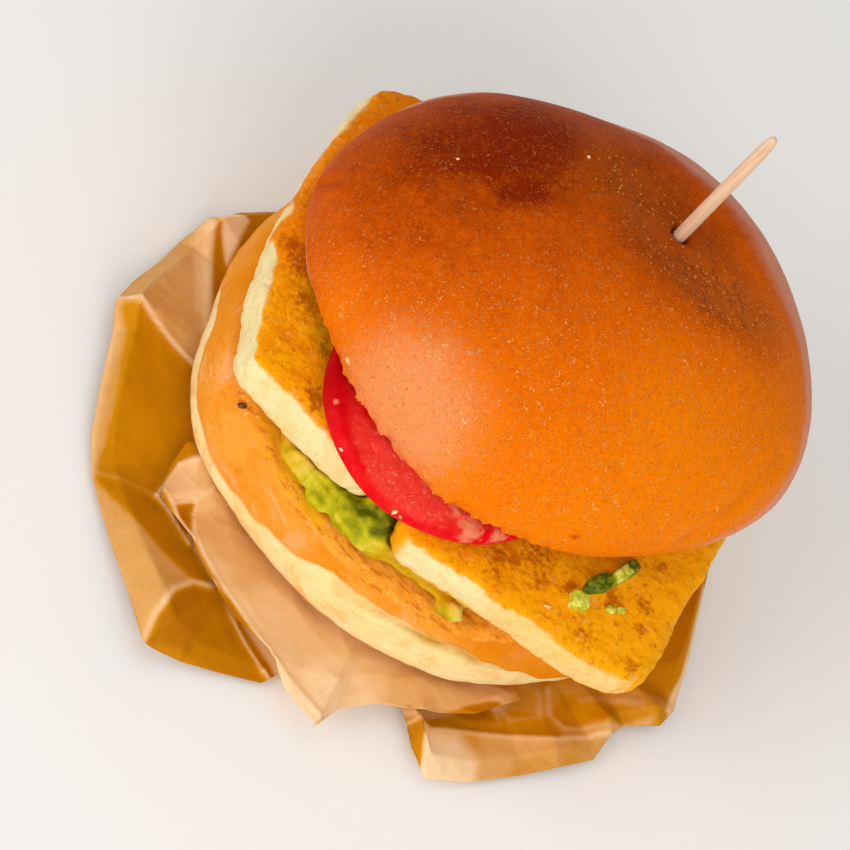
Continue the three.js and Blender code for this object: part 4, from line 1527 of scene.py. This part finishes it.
# Tones of the sheet's faces, from 0 in greasy, shaded valleys to 1 on dry, brightly lit faces: painted
# light and shade over the paper's own tone, how soft their edges are in mm, and their corners in mm
PAPER_LIT_AND_SHADED_FACES = [
    (0.5, 0.8, ((-66, 1), (-64.6, -33), (-46, -30.3), (-44, -22), (-52.6, -17.3), (-63.7, -5.5))),
    (0.62, 0.8, (
        (-65.5, 0.5), (-63.9, -5), (-57.8, -10.6), (-50, -20), (-53.5, -21), (-60, -13), (-66, -6),
    )),
    (0.12, 0.8, (
        (-63.4, -3.6), (-56.8, -9.9), (-52.2, -15.6), (-51, -12.5), (-55.7, -6.4), (-60.5, -2.5),
    )),
    (0.97, 0.8, ((-66, 2), (-64, -2.8), (-55.4, -7.0), (-58.2, 3.2))),
    (0.22, 0.8, ((-63, 3.6), (-58.2, 2.8), (-55.2, -6.6), (-48, -8), (-46, 8), (-56.6, 14))),
    (0.26, 0.8, (
        (-65, -33.4), (-46, -30.3), (-30, -44), (-33.6, -51), (-32.6, -58.8), (-44.6, -63.6), (-62, -44),
    )),
    (0.42, 0.8, ((-62, -36), (-58, -38), (-46, -58), (-44.6, -63.6), (-55, -50))),
    (0.1, 0.8, (
        (-44.6, -63.4), (-32.6, -59.2), (-21.8, -62.6), (-13.6, -66), (-17, -68), (-24, -68.5),
        (-34, -66.5),
    )),
    (0.42, 0.8, (
        (-44.8, -63.6), (-34, -66.5), (-24, -68.5), (-16.6, -68.6), (-18, -75), (-26, -74), (-36, -71),
    )),
    (0.44, 1.0, (
        (-42, -67.5), (-32, -69.5), (-25, -72), (-18.2, -75.5), (-15.6, -84.8), (-24, -81), (-36, -74),
    )),
    (0.05, 0.8, (
        (-15.4, -85), (-17.0, -80), (-17.6, -74.6), (-16.2, -69.2), (-13, -66.4), (6, -66), (6, -76),
    )),
    (0.26, 0.8, ((-15.4, -85.5), (-12.4, -81.2), (-5.1, -77), (6, -72.4), (6, -77), (-4, -84))),
    (0.78, 0.8, (
        (-32.5, -58.8), (-33.8, -51), (-31.5, -44), (-24, -46), (-26.2, -54.5), (-28.7, -59.2),
    )),
    (0.08, 0.8, ((-29.0, -58.3), (-26.4, -54.6), (-22.9, -61.2))),
    (0.72, 0.8, (
        (-26.4, -54.6), (-22.6, -61.2), (-14.8, -64.6), (3.9, -70.2), (17, -73), (19.3, -66.5), (26, -60),
        (36, -50), (42, -38), (20, -40), (-20, -44), (-26, -48),
    )),
    (0.56, 3.0, ((-27, -48), (-22, -60), (-10, -63), (-5, -56), (-12, -46), (-20, -44))),
    (0.84, 1.6, ((9, -67), (14, -72), (19, -70), (23, -62), (17, -57), (11, -60))),
    (0.58, 1.6, ((25, -62), (30, -58), (42, -44), (42, -38), (26, -44), (21, -54))),
    (0.88, 0.8, ((2.6, -69.9), (4.4, -73.5), (17, -77), (17.4, -72.6), (10, -71))),
    (0.9, 2.4, ((29.5, -58.2), (31, -63), (40, -66), (49, -58), (45.5, -52.5), (39, -52), (34, -56))),
    (0.52, 2.4, ((45.5, -52.5), (44, -49), (50, -43), (55, -37), (58, -42), (52, -54), (49, -58))),
    (0.4, 2.0, ((52, -54), (50, -45), (54, -39), (56, -36), (61.5, -28), (64, -31), (56, -46))),
    (0.15, 0.5, ((28.0, -57), (28.5, -60), (34, -67), (39, -66), (37, -62.8), (34, -60), (32, -57.4))),
    (0.2, 1.2, (
        (31, -58), (34.5, -55.4), (40, -49.8), (48, -42.5), (54, -37), (51, -34), (44, -39), (36, -47),
    )),
    (0.6, 0.8, ((33, -53), (35.4, -49.2), (40.1, -40.6), (42, -37), (36, -42))),
    (0.1, 0.8, ((35.6, -49.4), (39.3, -47.6), (43.8, -42.8), (40.3, -41.2), (37.0, -46.2))),
    (0.26, 0.8, ((46, -33), (46, -27), (57, -17), (68, -14), (66, 10), (60, 26), (40, 26), (44, -20))),
    (0.28, 0.8, (
        (50.3, -33.6), (54, -33.4), (60.5, -26.6), (66, -19), (63, -18.4), (56, -22.6), (50, -28),
    )),
    (0.3, 0.8, ((58, -22), (62.6, -18.4), (68, -15), (70, -19), (64, -24))),
    (0.68, 0.8, ((72, -16), (67.2, -14.6), (65.8, -6), (61.6, 4), (58, 14), (66, 16), (72, 0))),
]

# Part of the base sheet, seen from above in mm, that lies close under the flap's edge, and its tone, a
# painted shade
SHADE_UNDER_FLAP = ((-30, -60), (-14, -63), (7, -68.5), (8, -75), (-5, -79), (-30, -70))
UNDER_FLAP_SHADE = 0.16


@lru_cache(maxsize=None)
def spread_of(corners):
    """Lowest and highest X and Y of some corners."""
    across, deep = zip(*corners)
    return min(across), max(across), min(deep), max(deep)


def off_flat(x, y, corners, limit):
    """Distance, up to a limit, from a place to a line through corners, all in mm seen from above."""
    left, right, front, back = spread_of(corners)
    if not (left - limit < x < right + limit and front - limit < y < back + limit):
        return limit
    best = limit
    for (x1, y1), (x2, y2) in zip(corners, corners[1:]):
        run = x2 - x1
        rise = y2 - y1
        along = clamp(((x - x1) * run + (y - y1) * rise) / (run * run + rise * rise))
        best = min(best, math.hypot(x - x1 - along * run, y - y1 - along * rise))
    return best


def within(x, y, corners):
    """Whether a place lies inside a flat shape, both in mm seen from above."""
    left, right, front, back = spread_of(corners)
    if not (left < x < right and front < y < back):
        return False
    odd = False
    for (x1, y1), (x2, y2) in zip(corners, (*corners[1:], corners[0])):
        if (y1 > y) != (y2 > y) and x < x1 + (y - y1) * (x2 - x1) / (y2 - y1):
            odd = not odd
    return odd


def inward(x, y, corners, limit):
    """Distance in from a flat shape's edge, negative outside it, and no more than a limit, in mm."""
    away = off_flat(x, y, (*corners, corners[0]), limit)
    return away if within(x, y, corners) else -away


def paper_tone_light_and_shade(point, normal):
    """How pale the paper is: painted shade in greasy valleys and painted light on dry bright faces and
    folds, over its own tone.
    """
    x = point.x / MM + 0.4 * wander(point, 9 * MM, 2.0)
    y = point.y / MM + 0.4 * wander(point, 9 * MM, 6.0)
    shown = 0.35
    for face, softness, corners in PAPER_LIT_AND_SHADED_FACES:
        shown += (face - shown) * ease(-softness, softness, inward(x, y, corners, softness))
    under = ease(-1.0, 1.0, inward(x, y, SHADE_UNDER_FLAP, 1.0)) * ease(6.0, 3.4, point.z / MM)
    shown += (UNDER_FLAP_SHADE - shown) * under
    for _, width, fold_highlight, line in PAPER_FOLDS:
        away = off_flat(point.x / MM, point.y / MM, line, 2 * width)
        shown += fold_highlight * bell(away, 0.45 * width) * (1.0 - shown)
    return shown


def paper_shift(settings):
    """Folds and small creases, none where the bun presses the sheet flat."""

    def shift(point, normal):
        free = ease(47 * MM, 54 * MM, reach(point))
        crease = ridges(point, 17 * MM, 2.0) ** 2 + 0.5 * ridges(point, 8 * MM, 5.0) ** 2
        lift = settings.creases * crease
        for height, width, _, line in PAPER_FOLDS:
            away = off_flat(point.x / MM, point.y / MM, line, 3 * width)
            lift += height * MM * bell(away, 0.8 * width)
        moved = max(0.25 * MM, point.z + free * lift)
        return Vector((0, 0, moved - point.z))

    return shift


def greaseproof(settings):
    """Thin brown greaseproof paper, with painted shade that darkens its valleys."""
    material, tree, shader = new_material("greaseproof", roughness=0.5, specular=0.04)
    coords = coordinates(tree)
    patches = clouds(tree, coords, settings.patches, 4.0, 0.6)
    fibres = clouds(tree, coords, settings.fibres, 5.0, 0.7)
    lit = added(tree, centred(tree, patches), 0.3, stored(tree, "tone"))
    lit = added(tree, centred(tree, fibres), 0.14, lit)
    stops = [(0.0, settings.dark), (0.3, settings.ochre), (0.7, settings.beige), (1.0, settings.pale)]
    height = added(tree, patches, 1.5, product(tree, fibres, 0.35))
    wire(tree, shader, ramped(tree, lit, stops), height, settings.bumps)
    return material


class BURGER_OT_paper(Operator):
    """Makes the thin folded sheet of paper"""

    bl_idname = "burger.paper"
    bl_label = "Paper"

    def execute(self, context):
        settings = context.scene.burger_paper
        form = form_of("paper")
        form.normal_update()
        hidden = [face for face in form.faces if face.normal.z < 0.12]
        bmesh.ops.delete(form, geom=hidden, context="FACES")
        firm = form.edges.layers.float.new("crease_edge")
        for edge in form.edges:
            if len(edge.link_faces) == 2:
                edge[firm] = ease(math.radians(5), math.radians(18), edge.calc_face_angle())
        pinned = form.verts.layers.float.new("crease_vert")
        for vert in form.verts:
            vert[pinned] = 0.9 if vert.is_boundary else 0.0
        bmesh.ops.join_triangles(
            form, faces=form.faces, angle_face_threshold=0.1, angle_shape_threshold=1.2
        )
        sheet = object_from(form, "greaseproof_paper")
        add_modifier(sheet, "rounder", "SUBSURF", levels=3, render_levels=3)
        apply_modifiers(sheet)
        store(sheet, tone=paper_tone_light_and_shade)
        shape(sheet, paper_shift(settings))
        add_modifier(sheet, "wall", "SOLIDIFY", thickness=settings.thickness, offset=-1.0)
        apply_modifiers(sheet)
        finish_piece(sheet, greaseproof(settings), "paper")
        return {"FINISHED"}


# Skewer


def plain_wood(settings):
    """Pale wood with grain along the stick."""
    material, tree, shader = new_material("plain_wood", roughness=0.65, specular=0.12)
    coords = coordinates(tree)
    along = squeezed(tree, coords, (1.0, 1.0, 0.04))
    grain = clouds(tree, along, settings.lines, 4.0, 0.6)
    lines = stretched(tree, grain, 0.45, 0.72, 0.0, 0.7)
    base = blended(tree, lines, settings.wood, settings.grain)
    wire(tree, shader, base, grain, settings.bumps)
    return material


class BURGER_OT_skewer(Operator):
    """Makes the wooden skewer"""

    bl_idname = "burger.skewer"
    bl_label = "Skewer"

    def execute(self, context):
        settings = context.scene.burger_skewer
        stick = object_from(form_of("skewer"), "wooden_skewer")
        add_modifier(stick, "rounder", "SUBSURF", levels=2, render_levels=2)
        apply_modifiers(stick)
        finish_piece(stick, plain_wood(settings), "skewer")
        return {"FINISHED"}


# Crumbs and bits

# Single bits: carrier, place in mm, size in mm along, across and up, and turn in degrees
PALE_BITS = [
    ("cut_tomato", (-13.2, -50.6, 41.6), (0.9, 0.6, 0.5), 20),
    ("cut_tomato", (1.3, -52.2, 41.6), (1.3, 0.7, 0.6), 70),
    ("cut_tomato", (2.6, -52.0, 41.4), (0.7, 0.5, 0.5), 10),
    # These two pale bits on the top bun stand partly for tiny painted highlights on the crust
    ("glazed_top_bun", (-16.5, 12.1, 73.3), (0.7, 0.6, 0.5), 0),
    ("glazed_top_bun", (-33.2, -5.9, 68.9), (0.6, 0.5, 0.4), 0),
    ("fried_tofu_right", (33.1, -40.5, 36.4), (1.6, 0.6, 0.4), 150),
]
PEPPER_BITS = [("baked_bottom_bun", (-32.0, -42.8, 20.2), (1.8, 1.1, 0.5), 40)]

# Stretches where crumbs lie: carrier, how many, largest size in mm, and the line through corners in mm
CRUMB_LINES = [
    (
        "glazed_top_bun", 14, 0.6,
        [(-22, -40.5, 44.5), (-12, -45, 44.2), (0, -46.5, 44.2), (10, -45.8, 44.4), (18, -43, 45)],
    ),
    ("cut_tomato", 5, 0.5, [(-8, -46, 42.8), (2, -46.6, 42.8), (10, -44.8, 42.8)]),
    (
        "baked_bottom_bun", 8, 0.6,
        [(-6, -52.2, 21.8), (4, -51.8, 21.8), (14, -49.5, 21.8), (24, -46, 21.6)],
    ),
    ("baked_bottom_bun", 6, 0.8, [(-24, -45.5, 21.4), (-17, -48.8, 21.6), (-12, -50.6, 21.6)]),
]

# How lumpy a bit is, how far its middle stands off its carrier as a share of its height, and its relief
BIT_LUMPS = 0.45
BIT_STANDOFF = 0.3
BIT_RELIEF = 0.05 * MM


def surface_of(name):
    """A search tree over the faces of a finished piece."""
    return BVHTree.FromObject(bpy.data.objects[name], bpy.context.evaluated_depsgraph_get())


def add_bit(form, carrier, spot, size, turn, seed):
    """Adds one lumpy bit that sits in the nearest place of its carrier."""
    where, normal, _, _ = carrier.find_nearest(Vector(spot) * MM)
    made = bmesh.ops.create_icosphere(form, subdivisions=2, radius=0.5)["verts"]
    for vert in made:
        vert.co *= 1 + BIT_LUMPS * wander(vert.co, 0.5, seed)
    bmesh.ops.scale(form, verts=made, vec=Vector(size) * MM)
    bmesh.ops.rotate(form, verts=made, matrix=Matrix.Rotation(math.radians(turn), 3, "Z"))
    bmesh.ops.rotate(form, verts=made, matrix=normal.to_track_quat("Z", "Y").to_matrix())
    bmesh.ops.translate(form, verts=made, vec=where + normal * BIT_STANDOFF * size[2] * MM)


def bit_material(name, size, shown, darker):
    """Plain matt bits with a little unevenness."""
    material, tree, shader = new_material(name, roughness=0.6, specular=0.15)
    mottle = clouds(tree, coordinates(tree), size, 3.0)
    base = blended(tree, stretched(tree, mottle, 0.4, 0.65), shown, darker)
    wire(tree, shader, base, mottle, BIT_RELIEF)
    return material


class BURGER_OT_crumbs(Operator):
    """Makes the bread crumbs, pale bits and pepper flakes"""

    bl_idname = "burger.crumbs"
    bl_label = "Crumbs and bits"

    def execute(self, context):
        settings = context.scene.burger_crumbs
        draw = random.Random(settings.seed)
        names = {row[0] for row in (*CRUMB_LINES, *PALE_BITS, *PEPPER_BITS)}
        carriers = {name: surface_of(name) for name in sorted(names)}
        form = bmesh.new()
        for name, count, largest, line in CRUMB_LINES:
            for _ in range(count):
                along = draw.random() * (len(line) - 1)
                start, end = line[int(along)], line[int(along) + 1]
                spot = Vector(start).lerp(Vector(end), along % 1)
                spot += Vector((draw.uniform(-1, 1), draw.uniform(-1, 1), draw.uniform(-0.4, 0.4)))
                size = largest * draw.uniform(0.4, 1.0)
                shares = (size, size * draw.uniform(0.6, 0.9), size * draw.uniform(0.4, 0.7))
                add_bit(form, carriers[name], spot, shares, draw.uniform(0, 360), draw.uniform(0, 50))
        crumbs = object_from(form, "bread_crumbs")
        material = bit_material("bread_crumb", settings.mottle, settings.bread, settings.bread_dark)
        finish_piece(crumbs, material)
        for title, bits, shown, darker, slot in (
            ("pale_bits", PALE_BITS, settings.pale, settings.pale_dark, "tofu"),
            ("pepper_flakes", PEPPER_BITS, settings.pepper, settings.pepper_dark, None),
        ):
            form = bmesh.new()
            for seed, (name, spot, size, turn) in enumerate(bits):
                add_bit(form, carriers[name], spot, size, turn, seed)
            pieces = object_from(form, title)
            finish_piece(pieces, bit_material(title, settings.mottle, shown, darker))
        return {"FINISHED"}


# Stage

# Each light's place in metres, power in watts and colour
LIGHTS = {
    "left_light": ((-0.7, -0.8, 0.5), 5.8, (1.0, 0.97, 0.93)),
    "right_light": ((0.6, -0.85, 0.6), 6.3, (1.0, 0.97, 0.93)),
    "top_light": ((-0.3, -0.1, 1.0), 0.9, (1.0, 0.98, 0.96)),
}
LIGHT_WIDTH = 0.8
LIGHT_TARGET = Vector((0, 0, 0.03))
SKY_COLOUR = (1.0, 0.985, 0.965, 1.0)

# Half the floor's width, how far it lies below the paper, and the size of its faint patches
FLOOR_HALF = 2.0
FLOOR_DROP = 0.05 * MM
FLOOR_PATCHES = 90 * MM


def make_floor(settings):
    """A plain floor with hardly visible patches."""
    form = bmesh.new()
    bmesh.ops.create_grid(form, x_segments=4, y_segments=4, size=FLOOR_HALF)
    bmesh.ops.translate(form, verts=form.verts, vec=(0, 0, -FLOOR_DROP))
    floor = object_from(form, "floor")
    material, tree, shader = new_material("pale_floor", roughness=0.9, specular=0.1)
    patches = clouds(tree, coordinates(tree), FLOOR_PATCHES, 2.0)
    base = blended(tree, product(tree, patches, 0.06), settings.floor, settings.floor_dark)
    tree.links.new(base, shader.inputs["Base Color"])
    floor.data.materials.append(material)


def make_sky(settings):
    """Even light from all round."""
    world = bpy.data.worlds.new("soft_sky")
    world.use_nodes = True
    sky = world.node_tree.nodes["Background"]
    sky.inputs["Color"].default_value = SKY_COLOUR
    sky.inputs["Strength"].default_value = settings.sky
    bpy.context.scene.world = world


def area_light(name, spot, power, shown):
    """A soft light that faces the burger."""
    light = bpy.data.lights.new(name, "AREA")
    light.shape = "SQUARE"
    light.size = LIGHT_WIDTH
    light.energy = power
    light.color = shown
    lamp = new_object(name, light)
    lamp.location = spot
    lamp.rotation_mode = "QUATERNION"
    lamp.rotation_quaternion = (LIGHT_TARGET - Vector(spot)).to_track_quat("-Z", "Y")


def make_camera(settings):
    """The camera at the photograph's place, turned about its line of sight."""
    up_tilt = Vector((0, math.sin(settings.elevation), math.cos(settings.elevation)))
    back = Vector((0, -math.cos(settings.elevation), math.sin(settings.elevation)))
    side = Vector((1, 0, 0))
    right = math.cos(settings.roll) * side + math.sin(settings.roll) * up_tilt
    up = -math.sin(settings.roll) * side + math.cos(settings.roll) * up_tilt
    lens = bpy.data.cameras.new("photo_camera")
    lens.sensor_width = SENSOR_WIDTH_MM
    lens.lens = SENSOR_WIDTH_MM * FOCAL_LENGTH_PX / PHOTO_WIDTH_PX
    lens.clip_start = 0.01
    camera = new_object("photo_camera", lens)
    turn = Matrix((right, up, back)).transposed().to_4x4()
    camera.matrix_world = Matrix.Translation(CAMERA_TARGET + settings.distance * back) @ turn
    bpy.context.scene.camera = camera


class BURGER_OT_stage(Operator):
    """Makes the floor, the soft lights and the camera"""

    bl_idname = "burger.stage"
    bl_label = "Stage"

    def execute(self, context):
        settings = context.scene.burger_stage
        make_floor(settings)
        make_sky(settings)
        for name, light in LIGHTS.items():
            area_light(name, *light)
        make_camera(settings)
        context.scene.view_settings.view_transform = "Standard"
        return {"FINISHED"}


class BURGER_PT_pieces(Panel):
    """Lists what makes the burger"""

    bl_idname = "BURGER_PT_pieces"
    bl_label = "Tofu burger"
    bl_space_type = "VIEW_3D"
    bl_region_type = "UI"
    bl_category = "Burger"

    def draw(self, context):
        for maker in MAKERS:
            self.layout.operator(maker.bl_idname)


SETTINGS = {
    "burger_top_bun": BURGER_PG_top_bun,
    "burger_bottom_bun": BURGER_PG_bottom_bun,
    "burger_tofu": BURGER_PG_tofu,
    "burger_avocado": BURGER_PG_avocado,
    "burger_tomato": BURGER_PG_tomato,
    "burger_paper": BURGER_PG_paper,
    "burger_skewer": BURGER_PG_skewer,
    "burger_crumbs": BURGER_PG_crumbs,
    "burger_stage": BURGER_PG_stage,
}

MAKERS = (
    BURGER_OT_paper,
    BURGER_OT_bottom_bun,
    BURGER_OT_avocado,
    BURGER_OT_tofu,
    BURGER_OT_greens,
    BURGER_OT_tomato,
    BURGER_OT_top_bun,
    BURGER_OT_skewer,
    BURGER_OT_crumbs,
    BURGER_OT_stage,
)


def register():
    for kind in (*SETTINGS.values(), *MAKERS, BURGER_PT_pieces):
        bpy.utils.register_class(kind)
    for name, kind in SETTINGS.items():
        setattr(bpy.types.Scene, name, PointerProperty(type=kind))


def unregister():
    for name in SETTINGS:
        delattr(bpy.types.Scene, name)
    for kind in (BURGER_PT_pieces, *reversed(MAKERS), *reversed(SETTINGS.values())):
        bpy.utils.unregister_class(kind)


def main():
    """Makes every piece."""
    register()
    bpy.ops.burger.paper()
    bpy.ops.burger.bottom_bun()
    bpy.ops.burger.avocado()
    bpy.ops.burger.tofu()
    bpy.ops.burger.greens()
    bpy.ops.burger.tomato()
    bpy.ops.burger.top_bun()
    bpy.ops.burger.skewer()
    bpy.ops.burger.crumbs()
    bpy.ops.burger.stage()


if __name__ == "__main__":
    main()
